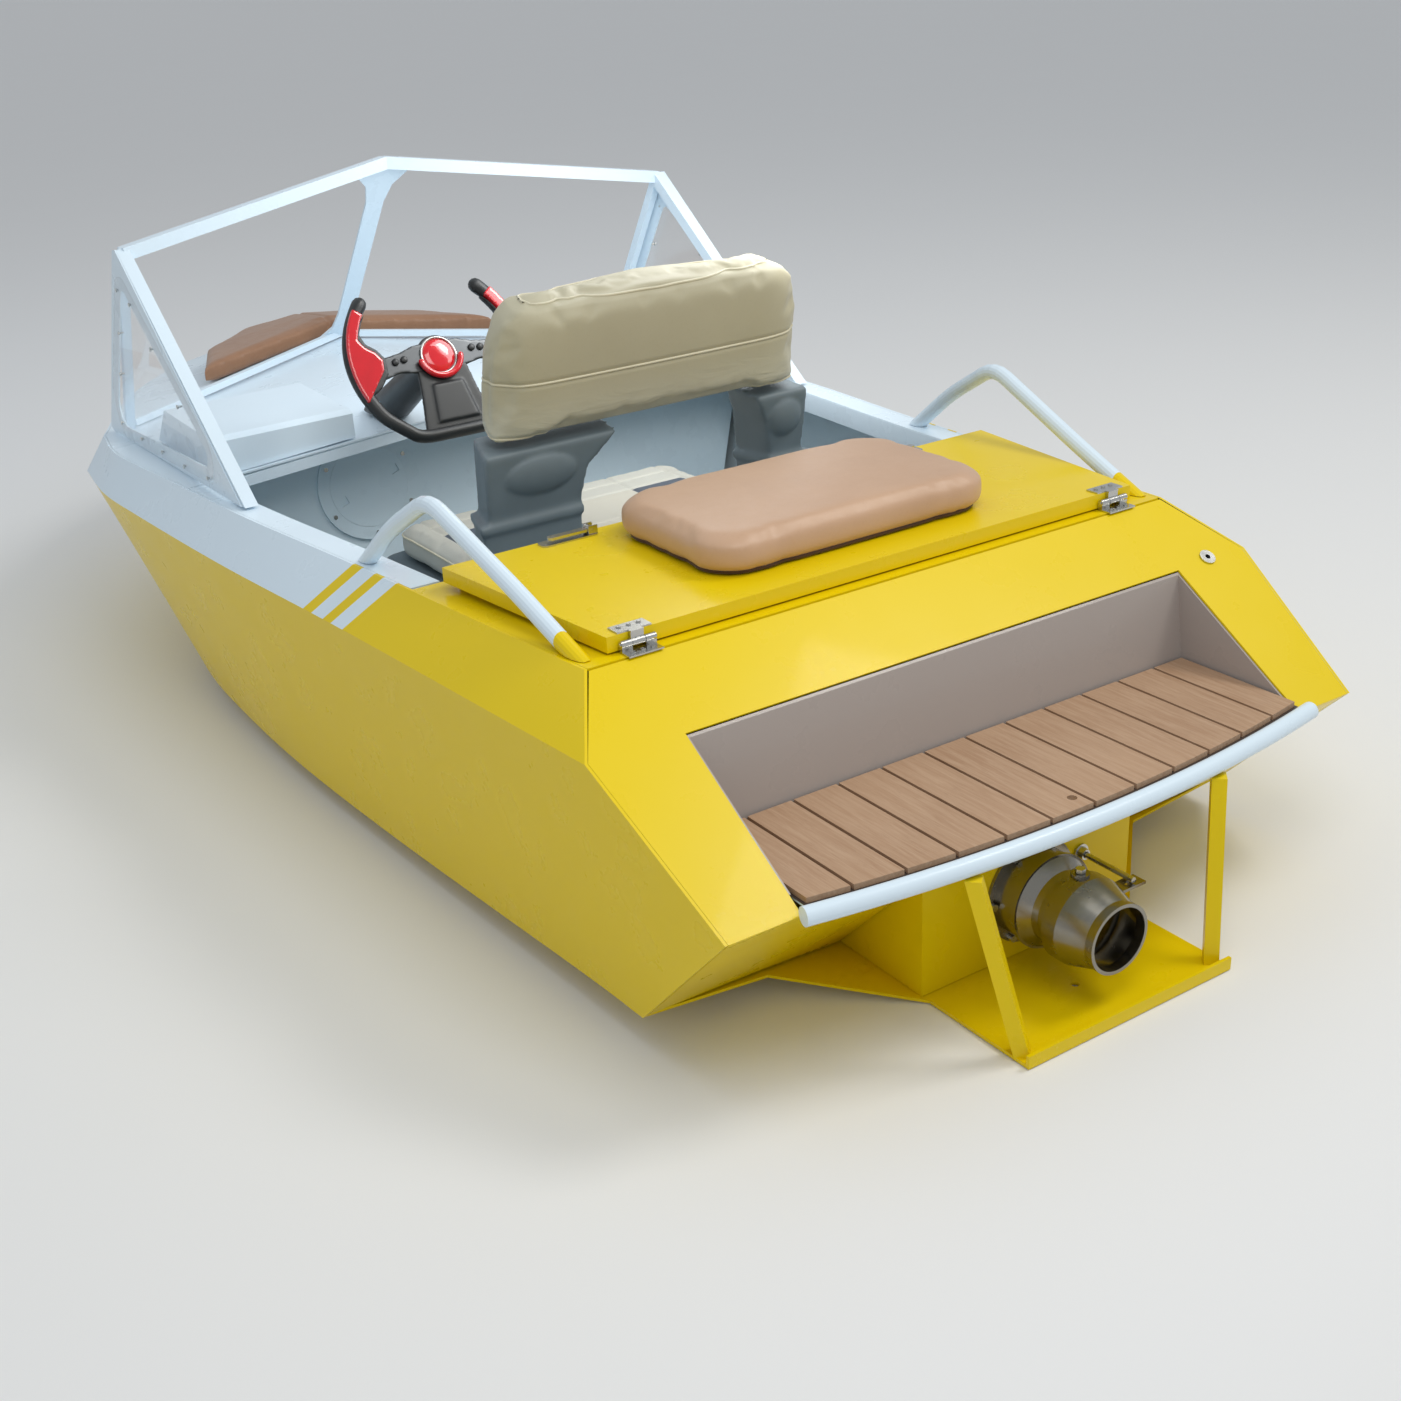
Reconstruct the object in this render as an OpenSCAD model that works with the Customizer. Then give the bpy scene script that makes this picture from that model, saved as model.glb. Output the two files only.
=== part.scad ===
// Small welded-aluminium jet boat.
// Built in hull coordinates: x to starboard, y forward from the foot of the stern slope,
// z up from the keel pad. in_place() moves it so that the origin is under the middle.

/* [Hull] */
// Half beam at the stern corner of the sheer line
stern_half_beam = 690; // [640:1:700]
// Largest half beam, near the bow corner
max_half_beam = 800; // [780:1:830]
// Height of the deck edge at the stern
deck_h = 572; // [560:1:590]
// Thickness of the hull plates, measured across the boat
skin = 5; // [4:0.5:6]
// Half width of the flat keel pad
pad_half_w = 221; // [210:1:230]
// Height of the cockpit floor
floor_z = 90; // [80:1:110]

/* [Stern platform] */
// Half width of the recess in the stern slope
recess_half_w = 519; // [500:1:525]
// Height of the planked surface
platform_z = 334; // [330:1:338]
// How far the platform edge bows out aft of its ends
platform_bow = 48; // [30:1:60]
// Distance from one plank groove to the next
plank_pitch = 87.6; // [80:0.1:90]
// Width of a groove between planks
groove_w = 6; // [4:0.5:10]
// Diameter of the white rail around the platform
platform_rail_d = 30; // [26:1:32]

/* [Hatch] */
// Half width of the lid at its hinges
lid_half_aft = 553; // [540:1:556]
// Half width of the lid at its forward edge
lid_half_fwd = 604; // [590:1:606]
// Height of the top of the lid
lid_top = 601; // [598:1:606]
// Length of the lid
lid_l = 452; // [440:1:454]
// Thickness of the cushion on the lid
hatch_pad_h = 66; // [50:1:80]

/* [Jet unit] */
// Height of the jet axis above the keel pad
jet_z = 122; // [118:1:126]
// Bore of the pump housing
pump_bore_d = 146; // [144:0.5:147]
// Outside diameter of the pump housing
pump_d = 156; // [155:1:157]
// Outside diameter of the steering nozzle's outlet
outlet_d = 116; // [110:1:120]
// Side distance from the nozzle pivot to the push rod
arm_x = 112; // [110:1:114]
// Diameter of the drive shaft
shaft_d = 24; // [20:1:26]

/* [Windscreen] */
// Height of the frame at its outer corners
screen_side_z = 976; // [950:1:1000]
// Height of the frame at its middle
screen_mid_z = 1079; // [1050:1:1100]
// Size of the frame's square tube
screen_tube = 28; // [24:1:30]

/* [Helm] */
// Distance from the centre line to the steering wheel's centre
helm_x = 212; // [200:1:225]
// Height of the steering wheel's centre
helm_z = 764; // [750:1:780]
// Radius of the steering wheel
wheel_r = 190; // [165:1:195]
// Slope of the column below horizontal, in degrees
column_slope = 30; // [26:1:34]

/* [Seat] */
// Half width of the back cushion at its lower edge
seat_back_half = 377; // [360:1:380]
// Height of the top of the back cushion
seat_back_top = 975; // [950:1:985]
// Height of the top of the seat cushion
seat_top = 420; // [400:1:430]

/* [Hidden] */

$fn = 48;
gap = 0.6;
plate = 4;

yellow = [0.92, 0.80, 0.02];
white = [0.88, 0.94, 0.96];
wall_blue = [0.66, 0.75, 0.80];
steel = [0.62, 0.62, 0.60];
teak = [0.72, 0.56, 0.42];
tan_leather = [0.76, 0.60, 0.48];
cream = [0.84, 0.81, 0.70];
charcoal = [0.30, 0.34, 0.38];
shell_grey = [0.33, 0.37, 0.39];
black = [0.10, 0.11, 0.12];
red = [0.80, 0.02, 0.07];

// Fore and aft ends of the whole boat, which centre it on the origin
guard_aft_y = -145;
bow_tip_y = 3345;
y_middle = (bow_tip_y + guard_aft_y) / 2;

// Stern slope: it rises forward from its foot at y = 0
slope_foot_z = 311;
slope_top_y = 408;
slope_rise = (deck_h - slope_foot_z) / slope_top_y;
slope_angle = atan(slope_rise);
slope_len = norm([slope_top_y, deck_h - slope_foot_z]);
corner_y = 280;
corner_z = slope_foot_z + slope_rise * corner_y;

// Raked transom: it runs down and forward from the slope's foot
transom_foot_y = 248;
transom_foot_z = 57;
transom_len = norm([transom_foot_y, slope_foot_z - transom_foot_z]);
transom_angle = atan2(slope_foot_z - transom_foot_z, transom_foot_y);

// Longitudinal lines of the starboard side, from the stern to the fold at the bow
side_top = [
    [650, 0, slope_foot_z], [stern_half_beam, corner_y, corner_z], [736, 1030, 476],
    [774, 1536, 466], [max_half_beam - 4, 2000, 457], [max_half_beam, 2250, 452], [772, 2480, 447]
];
side_low = [
    [644, transom_foot_y, transom_foot_z], [652, 420, 55], [688, 1030, 42], [708, 1480, 40],
    [704, 1850, 41], [690, 2060, 44], [662, 2190, 50]
];
bow_top = [side_top[6], [600, 2850, 446], [370, 3150, 450], [110, bow_tip_y, 455]];
bow_low = [side_low[6], [480, 2640, 110], [280, 2980, 215], [90, 3230, 340]];
deck_edge = [
    [608, slope_top_y, deck_h], [667, 1113, 557], [711, 1536, 549], [740, 1950, 541],
    [757, 2245, 535], [729, 2440, 531]
];
deck_bow = [[565, 2790, 524], [345, 3075, 518], [90, 3262, 514]];
inner_chine = [
    [410, transom_foot_y, 35], [410, 420, 34], [430, 1030, 26], [440, 1480, 25], [430, 1850, 27],
    [415, 2060, 31], [390, 2190, 38], [280, 2640, 98], [160, 2980, 200], [50, 3230, 336]
];
pad_edge = [
    [pad_half_w, 75, 0], [pad_half_w, 420, 0], [pad_half_w, 1030, 0], [pad_half_w, 1480, 0],
    [215, 1850, 2], [205, 2060, 6], [195, 2190, 11], [135, 2640, 74], [75, 2980, 180],
    [25, 3230, 334]
];

// Platform edge: one large arc through its ends
platform_r = (pow(recess_half_w, 2) + pow(platform_bow, 2)) / (2 * platform_bow);
platform_cy = platform_r - platform_bow;
platform_plate_top = platform_z - 9;
bulkhead_top_y = 278;
bulkhead_foot_y = 255;

// Hatch hinge line
hinge_x = 503;
hinge_y = 425;
hinge_z = 586;
hinge_pin_r = 3;

// Thickness of the pad on the foredeck, which just clears the deck under it
bow_pad_t = 42.4;
lid_y0 = 432;
lid_wall = 26;
latch_x = 325;
latch_y = lid_y0 + lid_l - 20;
latch_pin_z = lid_top + 10;
latch_pin_r = 2.5;

// Jet unit along y
box_y = 90;
barrel_aft_y = 40;
nozzle_pivot_y = -20;
outlet_y = -108;
box_half_w = 225;
box_top = 214;
box_fwd_y = 480;
rod_z = 150;
rod_pin_r = 4;
arm_z = 138.5;
flange_r = 92;
bolt_circle_r = 85;
bolt_angles = [30:60:330];
shaft_r = shaft_d / 2;
engine_y = 500;

// Windscreen corners
screen_x = 681;
corner_top = [screen_x, 2178, screen_side_z];
middle_top = [0, 2296, screen_mid_z];
aft_foot = [screen_x, 1605, 552];
fwd_foot = [664, 2440, 534];
middle_foot = [0, 2720, 600];
wing_x = screen_x + screen_tube / 2 + 0.4;
window = [[2168, 880, 22], [2325, 610, 40], [1790, 620, 26]];

// Helm
wheel_y = 1656;
wheel_centre = [-helm_x, wheel_y, helm_z];
column_l = 390;
quick_l = 34;

// Inspection plate on the front bulkhead
bulkhead_lean = 10;
front_y = 1996;
plate_centre = [-268, front_y, 415];
ring_r = 124;
lid_r = 95;

// Throttle pedal
pedal_x = -120;
pedal_y = 1905;
pedal_z = 128;

function lift(points, shift) = [for (p = points) p + shift];
function flip_x(points) = [for (p = points) [-p.x, p.y, p.z]];
// The deck edge's point at a given y
function edge_at(y) = [
    lookup(y, [for (p = concat(deck_edge, deck_bow)) [p.y, p.x]]),
    y,
    lookup(y, [for (p = concat(deck_edge, deck_bow)) [p.y, p.z]])
];

// Closed plate over a grid of points: rows run forward, and seen from outside each row runs down.
// Each rail of the grid has its own shift to the back face.
module grid_plate(rows, shifts) {
    n = len(rows);
    m = len(rows[0]);
    outer = [for (row = rows) for (p = row) p];
    inner = [for (row = rows) for (j = [0:m - 1]) row[j] + shifts[j]];
    total = n * m;
    quads = concat(
        [for (i = [0:n - 2]) for (j = [0:m - 2])
            [i * m + j, (i + 1) * m + j, (i + 1) * m + j + 1, i * m + j + 1]],
        [for (i = [0:n - 2]) for (j = [0:m - 2])
            [total + i * m + j, total + i * m + j + 1, total + (i + 1) * m + j + 1,
             total + (i + 1) * m + j]],
        [for (i = [0:n - 2]) [(i + 1) * m, i * m, total + i * m, total + (i + 1) * m]],
        [for (i = [0:n - 2])
            [i * m + m - 1, (i + 1) * m + m - 1, total + (i + 1) * m + m - 1, total + i * m + m - 1]],
        [for (j = [0:m - 2]) [j, j + 1, total + j + 1, total + j]],
        [for (j = [0:m - 2])
            [(n - 1) * m + j + 1, (n - 1) * m + j, total + (n - 1) * m + j,
             total + (n - 1) * m + j + 1]]
    );
    triangles = [for (q = quads) each [[q[0], q[1], q[2]], [q[0], q[2], q[3]]]];
    polyhedron(points = concat(outer, inner), faces = triangles, convexity = 6);
}

// Pairs of rails joined into rows
function rows_of(rails) = [for (i = [0:len(rails[0]) - 1]) [for (rail = rails) rail[i]]];

module in_place() {
    translate([0, -y_middle, 0]) children();
}

module both_sides() {
    children();
    mirror([1, 0, 0]) children();
}

// Local z along the line from p to q
module along(p, q) {
    v = q - p;
    translate(p) rotate([0, acos(v.z / norm(v)), atan2(v.y, v.x)]) children();
}

module rod(p, q, d) {
    along(p, q) cylinder(d = d, h = norm(q - p));
}

module square_bar(p, q, s) {
    along(p, q) translate([-s / 2, -s / 2, 0]) cube([s, s, norm(q - p)]);
}

function unit(v) = v / norm(v);
// Path with each inner corner replaced by a short curve that starts r before it
function eased(points, r) = [
    points[0],
    for (i = [1:len(points) - 2])
        let (a = points[i] + r * unit(points[i - 1] - points[i]),
            b = points[i] + r * unit(points[i + 1] - points[i]))
        for (f = [0:0.25:1]) pow(1 - f, 2) * a + 2 * f * (1 - f) * points[i] + f * f * b,
    points[len(points) - 1]
];

// Round tube swept along a path that never runs parallel to n
module swept_tube(points, d, n) {
    sides = 16;
    m = len(points);
    rings = [
        for (i = [0:m - 1])
            let (back = i == 0 ? [0, 0, 0] : unit(points[i] - points[i - 1]),
                ahead = i == m - 1 ? [0, 0, 0] : unit(points[i + 1] - points[i]),
                t = unit(back + ahead), u = unit(cross(t, n)), v = cross(u, t))
            for (k = [0:sides - 1])
                points[i] + d / 2 * (cos(k * 360 / sides) * u + sin(k * 360 / sides) * v)
    ];
    walls = [
        for (i = [0:m - 2]) for (k = [0:sides - 1])
            let (a = i * sides + k, b = i * sides + (k + 1) % sides)
            each [[a, b, b + sides], [a, b + sides, a + sides]]
    ];
    ends = [[for (k = [sides - 1:-1:0]) k], [for (k = [0:sides - 1]) (m - 1) * sides + k]];
    polyhedron(points = rings, faces = concat(walls, ends), convexity = 8);
}

// Box with its four upright edges rounded
module soft_box(size, r) {
    linear_extrude(size.z) rounded_rect(size.x, size.y, r);
}

module rounded_rect(w, l, r) {
    for (sx = [-1, 1]) for (sy = [-1, 1])
        translate([sx * (w / 2 - r), sy * (l / 2 - r)]) circle(r);
    square([w - 2 * r, l], center = true);
    square([w, l - 2 * r], center = true);
}

// ---- hull plating ----

module hull_bottom() {
    chine = lift(concat(side_low, [for (i = [1:3]) bow_low[i]]), [-skin - gap, 0, 0]);
    rails = [
        chine, inner_chine, pad_edge, flip_x(pad_edge), flip_x(inner_chine), flip_x(chine)
    ];
    color(yellow) difference() {
        grid_plate(rows_of(rails), [for (rail = rails) [0, 0, skin]]);
        translate([-intake_half_w, intake_y0, -5]) cube([2 * intake_half_w, intake_l, 20]);
    }
}
intake_half_w = 80;
intake_y0 = 190;
intake_l = 250;

module side_panel() {
    color(yellow) grid_plate(rows_of([side_top, side_low]), [[-skin, 0, 0], [-skin, 0, 0]]);
}
module side_panel_starboard() {
    side_panel();
}
module side_panel_port() {
    mirror([1, 0, 0]) side_panel();
}

module bow_panel() {
    color(yellow) grid_plate(rows_of([bow_top, bow_low]), [[-skin, 0, 0], [-skin, 0, 0]]);
}
module bow_panel_starboard() {
    bow_panel();
}
module bow_panel_port() {
    mirror([1, 0, 0]) bow_panel();
}

module sheer_band() {
    upper = concat(deck_edge, deck_bow);
    lower = concat([for (i = [1:6]) side_top[i]], [for (i = [1:3]) bow_top[i]]);
    color(white) grid_plate(rows_of([upper, lower]), [[-skin, 0, 0], [-skin, 0, 0]]);
}
module sheer_band_starboard() {
    sheer_band();
}
module sheer_band_port() {
    mirror([1, 0, 0]) sheer_band();
}

// Blunt nose between the two bow panels
module bow_nose_plate() {
    half = [deck_bow[2], bow_top[3], bow_low[3] + [1.1, 6.4, 6.4]];
    stbd = [for (p = half) p + [-skin - gap, -1, 0]];
    color(yellow) grid_plate([stbd, flip_x(stbd)], [for (p = half) [0, -plate, 0]]);
}

// Raked plate closing the stern below the platform, notched for the jet box
module transom_plate() {
    notch = 222;
    up = transom_len / (slope_foot_z - transom_foot_z);
    outline = [
        [-636, 9], [-410, 43 * up - transom_foot_z * up], [-228, 8 * up - transom_foot_z * up],
        [-228, notch], [228, notch], [228, 8 * up - transom_foot_z * up],
        [410, 43 * up - transom_foot_z * up], [636, 9], [642, transom_len - 6],
        [-642, transom_len - 6]
    ];
    color(yellow) translate([0, transom_foot_y, transom_foot_z])
        rotate([180 - transom_angle, 0, 0]) mirror([0, 0, 1]) linear_extrude(plate) polygon(outline);
}

// Welded box that carries the pump on its aft face and takes water from the keel pad
module jet_box() {
    color(yellow) difference() {
        translate([-box_half_w, box_y, skin + 2 * gap])
            cube([2 * box_half_w, box_fwd_y - box_y, box_top - skin - gap]);
        translate([-box_half_w + plate, box_y + plate + 4, -1])
            cube([2 * (box_half_w - plate), box_fwd_y - box_y - 2 * plate - 4, box_top - 3]);
        jet_axis(box_y - 1) cylinder(d = pump_bore_d, h = 20);
        jet_axis(box_fwd_y - 20) cylinder(r = shaft_r + 0.05, h = 40);
        translate([arm_x, box_fwd_y - 20, rod_z]) rotate([-90, 0, 0]) cylinder(d = 14, h = 40);
        for (a = bolt_angles) pump_bolt_at(a) cylinder(d = 8.4, h = 40, center = true);
        translate([arm_x, box_y - 1, rod_z]) rotate([-90, 0, 0]) cylinder(d = 14, h = 12);
    }
}

module intake_grate() {
    color(steel) {
        for (i = [-3:3]) translate([i * 20 - 3, intake_y0 + 1, -0.5 + 1])
            cube([6, intake_l - 2, 10]);
        translate([-intake_half_w + 1, intake_y0 + intake_l - 13, 0.5])
            cube([2 * intake_half_w - 2, 12, 10]);
        translate([-intake_half_w + 1, intake_y0 + 1, 0.5]) cube([2 * intake_half_w - 2, 12, 10]);
    }
}

// Flat guard aft of the keel pad, with a folded lip
module jet_guard_plate() {
    outline = [[-219, guard_aft_y], [219, guard_aft_y], [pad_half_w, 74], [-pad_half_w, 74]];
    color(yellow) {
        difference() {
            linear_extrude(6) polygon(outline);
            translate([-11, -31, -1]) cylinder(d = 14, h = 10);
        }
        translate([-219, guard_aft_y, 0]) cube([438, 6, 22]);
        both_sides() difference() {
            square_bar([200, guard_aft_y + 24, -20], [262, -54, 330], 24);
            translate([100, -200, -50]) cube([250, 200, 52]);
            translate([100, -200, 302]) cube([250, 300, 60]);
        }
    }
}

// ---- stern slope and platform ----

// Local x across, y up the slope, z out of it
module on_slope() {
    translate([0, 0, slope_foot_z]) rotate([slope_angle, 0, 0]) children();
}

module stern_slope_panel() {
    edge = skin + gap;
    corner_s = corner_y / cos(slope_angle);
    recess_s = bulkhead_top_y / cos(slope_angle);
    r = recess_half_w + gap;
    outline = [
        [650 - edge, 0], [stern_half_beam - edge, corner_s], [608 - edge, slope_len - 4],
        [-608 + edge, slope_len - 4], [-stern_half_beam + edge, corner_s], [-650 + edge, 0],
        [-r, 0], [-r, recess_s], [r, recess_s], [r, 0]
    ];
    color(yellow) on_slope() difference() {
        translate([0, 0, -plate]) linear_extrude(plate) polygon(outline);
        translate([597, 336, -20]) cylinder(d = 16.2, h = 40);
    }
}

// Upright wall behind the planks and the two side walls of the recess
module recess_bulkhead() {
    w = recess_half_w;
    color(white) {
        translate([-w, 0, 0]) rotate([90, 0, 90]) linear_extrude(2 * w) polygon([
            [bulkhead_top_y - 4, 482], [bulkhead_top_y, 485], [bulkhead_foot_y + 4, 327],
            [bulkhead_foot_y, 327]
        ]);
        both_sides() translate([w - plate, 0, 0]) rotate([90, 0, 90]) linear_extrude(plate)
            polygon([[32, 328], [bulkhead_top_y - 3, 482], [bulkhead_foot_y + 2, 328]]);
    }
}

module platform_outline(inset) {
    intersection() {
        translate([-recess_half_w + plate + gap + inset, -80])
            square([2 * (recess_half_w - plate - gap - inset), 80 + bulkhead_foot_y - gap - inset]);
        translate([0, platform_cy]) circle(platform_r - inset, $fn = 180);
    }
}

module platform_plate() {
    color(white) difference() {
        translate([0, 0, platform_plate_top - plate]) linear_extrude(plate - 0.2)
            platform_outline(0);
        translate([-17, -12, platform_z - 30]) cylinder(d = 16, h = 40);
    }
}

module teak_planks() {
    color(teak) for (i = [-6:5]) difference() {
        translate([0, 0, platform_plate_top]) linear_extrude(9) intersection() {
            platform_outline(5);
            translate([i * plank_pitch + groove_w / 2, -100])
                square([plank_pitch - groove_w, 400]);
        }
        translate([-17, -12, platform_z - 30]) cylinder(d = 16, h = 40);
    }
}

module platform_rail() {
    color(white) translate([0, platform_cy, platform_z - 15]) rotate([0, 0, 270 - 10.7])
        rotate_extrude(angle = 21.4, $fn = 180) translate([platform_r + 16, 0])
            circle(d = platform_rail_d, $fn = 32);
}

// ---- deck ----

module stern_deck() {
    aft = lid_y0 + 20;
    fwd = 922;
    opening_aft = 520;
    opening_fwd = 576;
    opening_end = lid_y0 + lid_l - 14;
    y0 = slope_top_y + 0.5;
    color(yellow) difference() {
        union() {
            grid_plate(
                [
                    [[-608 + skin + gap, y0, deck_h], [608 - skin - gap, y0, deck_h]],
                    [edge_at(fwd) * [[-1, 0, 0], [0, 1, 0], [0, 0, 1]] + [skin + gap, 0, 0],
                     edge_at(fwd) - [skin + gap, 0, 0]]
                ],
                [[0, 0, -plate], [0, 0, -plate]]
            );
            translate([0, 0, 545]) linear_extrude(43) polygon([
                [-opening_aft - 4, aft - 4], [opening_aft + 4, aft - 4],
                [opening_fwd + 4, opening_end + 4], [-opening_fwd - 4, opening_end + 4]
            ]);
        }
        translate([0, 0, 500]) linear_extrude(120) polygon([
            [-opening_aft, aft], [opening_aft, aft], [opening_fwd, opening_end],
            [-opening_fwd, opening_end]
        ]);
        for (s = [-1, 1]) for (i = [-1:1])
            translate([s * hinge_x + i * 18, 411, 560]) cylinder(d = 4.2, h = 30);
    }
}

module coamings() {
    ys = [930.6, 1113, 1536, 1838];
    edge = [for (y = ys) edge_at(y)];
    color(white) both_sides() grid_plate(
        rows_of([lift(edge, [-62, 0, -45]), lift(edge, [-62, 0, 0]), lift(edge, [-skin - gap, 0, 0])]),
        [[plate, 0, 0], [plate, 0, -plate], [0, 0, -plate]]
    );
}

module foredeck() {
    edge = lift([for (y = [1840, 1950, 2245, 2440, 2790, 3075, 3252]) edge_at(y)],
        [-skin - gap, 0, 0]);
    ridge_z = [594, 596, 598, 598, 598, 560, 520];
    ridge = [for (i = [0:6]) [0, edge[i].y, ridge_z[i]]];
    color(white) {
        grid_plate(rows_of([flip_x(edge), ridge, edge]), [for (i = [0:2]) [0, 0, -plate]]);
        // turned-down lip at the aft edge of the dash shelf
        translate([0, 1844, 0]) rotate([90, 0, 0]) linear_extrude(plate) polygon([
            [-716, 511], [0, 566], [716, 511], [716, 535], [0, 590], [-716, 535]
        ]);
    }
}

// Raised instrument housing on the port side of the shelf
module dash_console() {
    color(white) hull() {
        side_plate(-660, 1) polygon([
            [1852, 548], [1852, 622], [1872, 630], [2150, 636], [2230, 552]
        ]);
        side_plate(-341, 1) polygon([
            [1852, 573], [1852, 626], [1872, 634], [2150, 640], [2230, 573]
        ]);
    }
}

// Local frame on the leaning bulkhead: x across, y up it, z towards the cockpit
module on_front() {
    translate([0, front_y, plate_centre.z]) rotate([90 - bulkhead_lean, 0, 0]) children();
}

module front_bulkhead() {
    c = cos(bulkhead_lean);
    low = (96 - plate_centre.z) / c;
    mid = (446 - plate_centre.z) / c;
    top = (531 - plate_centre.z) / c;
    peak = (586 - plate_centre.z) / c;
    color(wall_blue) on_front() translate([0, 0, -plate]) difference() {
        linear_extrude(plate) polygon([
            [-650, low], [650, low], [770, mid], [716, top], [0, peak], [-716, top], [-770, mid]
        ]);
        translate([plate_centre.x, 0, -1]) cylinder(r = lid_r + 4, h = 10);
        for (a = [30:60:330])
            translate([plate_centre.x + 110 * cos(a), 110 * sin(a), -1]) cylinder(d = 5, h = 10);
    }
}

// Flanged ring of the inspection plate
module inspection_ring() {
    color(wall_blue) on_front() translate([plate_centre.x, 0, 0.1]) difference() {
        union() {
            cylinder(r = ring_r, h = 7);
            translate([0, 0, -14]) cylinder(r = lid_r + 3.6, h = 15);
        }
        translate([0, 0, -20]) cylinder(r = lid_r - 4, h = 40);
        translate([0, 0, -2]) cylinder(r = lid_r + 0.4, h = 40);
        for (a = [30:60:330]) translate([110 * cos(a), 110 * sin(a), -20]) cylinder(d = 5, h = 40);
    }
}

module inspection_lid() {
    color(wall_blue) on_front() translate([plate_centre.x, 0, 0]) difference() {
        translate([0, 0, -1.4]) cylinder(r = lid_r, h = 9);
        for (a = [20, 200]) rotate(a) translate([62, -9, 3]) cube([20, 18, 10]);
    }
}

module screw(d) {
    cylinder(d = d, h = 2.4);
    translate([0, 0, -9]) cylinder(d = d / 2, h = 9.5);
}

// Screw places along the three edges of the side window, as [y, z]
window_screws = [
    [2196, 900], [2240, 800], [2290, 700], [2355, 575], [2215, 566], [2070, 566], [1925, 566],
    [1776, 574], [1898, 700], [2020, 800], [2118, 880]
];

module panel_screws() {
    color(steel) {
        on_front() for (a = [30:60:330])
            translate([plate_centre.x + 110 * cos(a), 110 * sin(a), 7.2]) screw(9.8);
        both_sides() for (p = window_screws)
            translate([wing_x + 6.4, p.x, p.y]) rotate([0, 90, 0]) screw(8.8);
    }
}

module engine_bulkhead() {
    color(wall_blue) difference() {
        translate([0, 930, 0]) rotate([90, 0, 0]) linear_extrude(plate) polygon([
            [-672, 70], [672, 70], [712, 462], [640, 546], [583, 546], [583, 556], [-583, 556],
            [-583, 546], [-640, 546], [-712, 462]
        ]);
        translate([-600, 900, 470]) rotate([-90, 0, 0]) cylinder(d = 16, h = 60);
    }
}

module cockpit_floor() {
    half = [[936, 668], [1480, 684], [1850, 680], [2040, 662]];
    color(shell_grey) translate([0, 0, floor_z - plate]) linear_extrude(plate) polygon(concat(
        [for (p = half) [p[1], p[0]]], [for (i = [3:-1:0]) [-half[i][1], half[i][0]]]
    ));
}

// ---- windscreen ----

module window_shape(grow) {
    hull() for (c = window) translate([c[0], c[1]]) circle(c[2] + grow, $fn = 32);
}

// Plate in the plane of the side, drawn as y and z
module side_plate(x, t) {
    translate([x, 0, 0]) rotate([90, 0, 90]) linear_extrude(t) children();
}

module wing_panels() {
    color(white) both_sides() difference() {
        side_plate(wing_x, 3) polygon([
            [1602, 554], [2452, 536.5], [2470, 545], [2190, 985], [2170, 988]
        ]);
        side_plate(wing_x - 10, 30) window_shape(0);
        for (p = window_screws)
            translate([wing_x - 10, p.x, p.y]) rotate([0, 90, 0]) cylinder(d = 4.6, h = 30);
    }
}

module wing_panes() {
    color([0.8, 0.9, 0.95, 0.4]) both_sides() difference() {
        side_plate(wing_x + 3.2, 3) window_shape(30);
        for (p = window_screws)
            translate([wing_x - 10, p.x, p.y]) rotate([0, 90, 0]) cylinder(d = 4.6, h = 30);
    }
}

// Flat post with flared ends at the middle of the screen
module middle_post() {
    lower = middle_foot + [0, -4, 4];
    l = norm(middle_top - lower);
    along(lower, middle_top) rotate([90, 0, 90]) linear_extrude(6, center = true) polygon([
        [-60, 2], [60, 2], [30, 40], [23, 90], [23, l - 130], [34, l - 75], [75, l - 22],
        [60, l - 4], [-60, l - 4], [-75, l - 22], [-34, l - 75], [-23, l - 130], [-23, 90], [-30, 40]
    ]);
}

module windscreen_frame() {
    color(white) {
        both_sides() {
            square_bar(corner_top, middle_top, screen_tube);
            difference() {
                square_bar(aft_foot - [0, 12, 12], corner_top, screen_tube);
                translate([600, 1500, 450]) cube([200, 300, 103.6]);
            }
            difference() {
                square_bar(fwd_foot + [0, 8, -14], corner_top, screen_tube - 8);
                translate([600, 2300, 450]) cube([120, 300, 88]);
            }
            square_bar(fwd_foot + [-14, 6, 14], middle_foot + [0, 0, 10], 16);
            translate(corner_top) sphere(r = screen_tube / 2);
        }
        middle_post();
        translate(middle_top) sphere(r = screen_tube / 2);
    }
}

// ---- rails ----

module grab_rails() {
    color(white) both_sides() {
        difference() {
            swept_tube(eased([[589, 436, 560], [600, 620, 632], [622, 868, 728],
                [634, 1010, 645], [640, 1128, 552]], 40), 30, [1, 0, 0]);
            translate([500, 380, 500]) cube([200, 200, deck_h - 499.4]);
            translate([500, 1000, 500]) cube([200, 250, 58.6]);
        }
    }
}

// ---- helm ----

// Local z from the wheel's centre towards the driver, y up the wheel
module at_wheel() {
    translate(wheel_centre) rotate([90 - column_slope, 0, 0]) children();
}

// Part of the rim circle swept with a flat shape, between two angles
module wheel_arc(a0, a1) {
    rotate(a0) rotate_extrude(angle = a1 - a0) translate([wheel_r, 0]) children();
}

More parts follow.
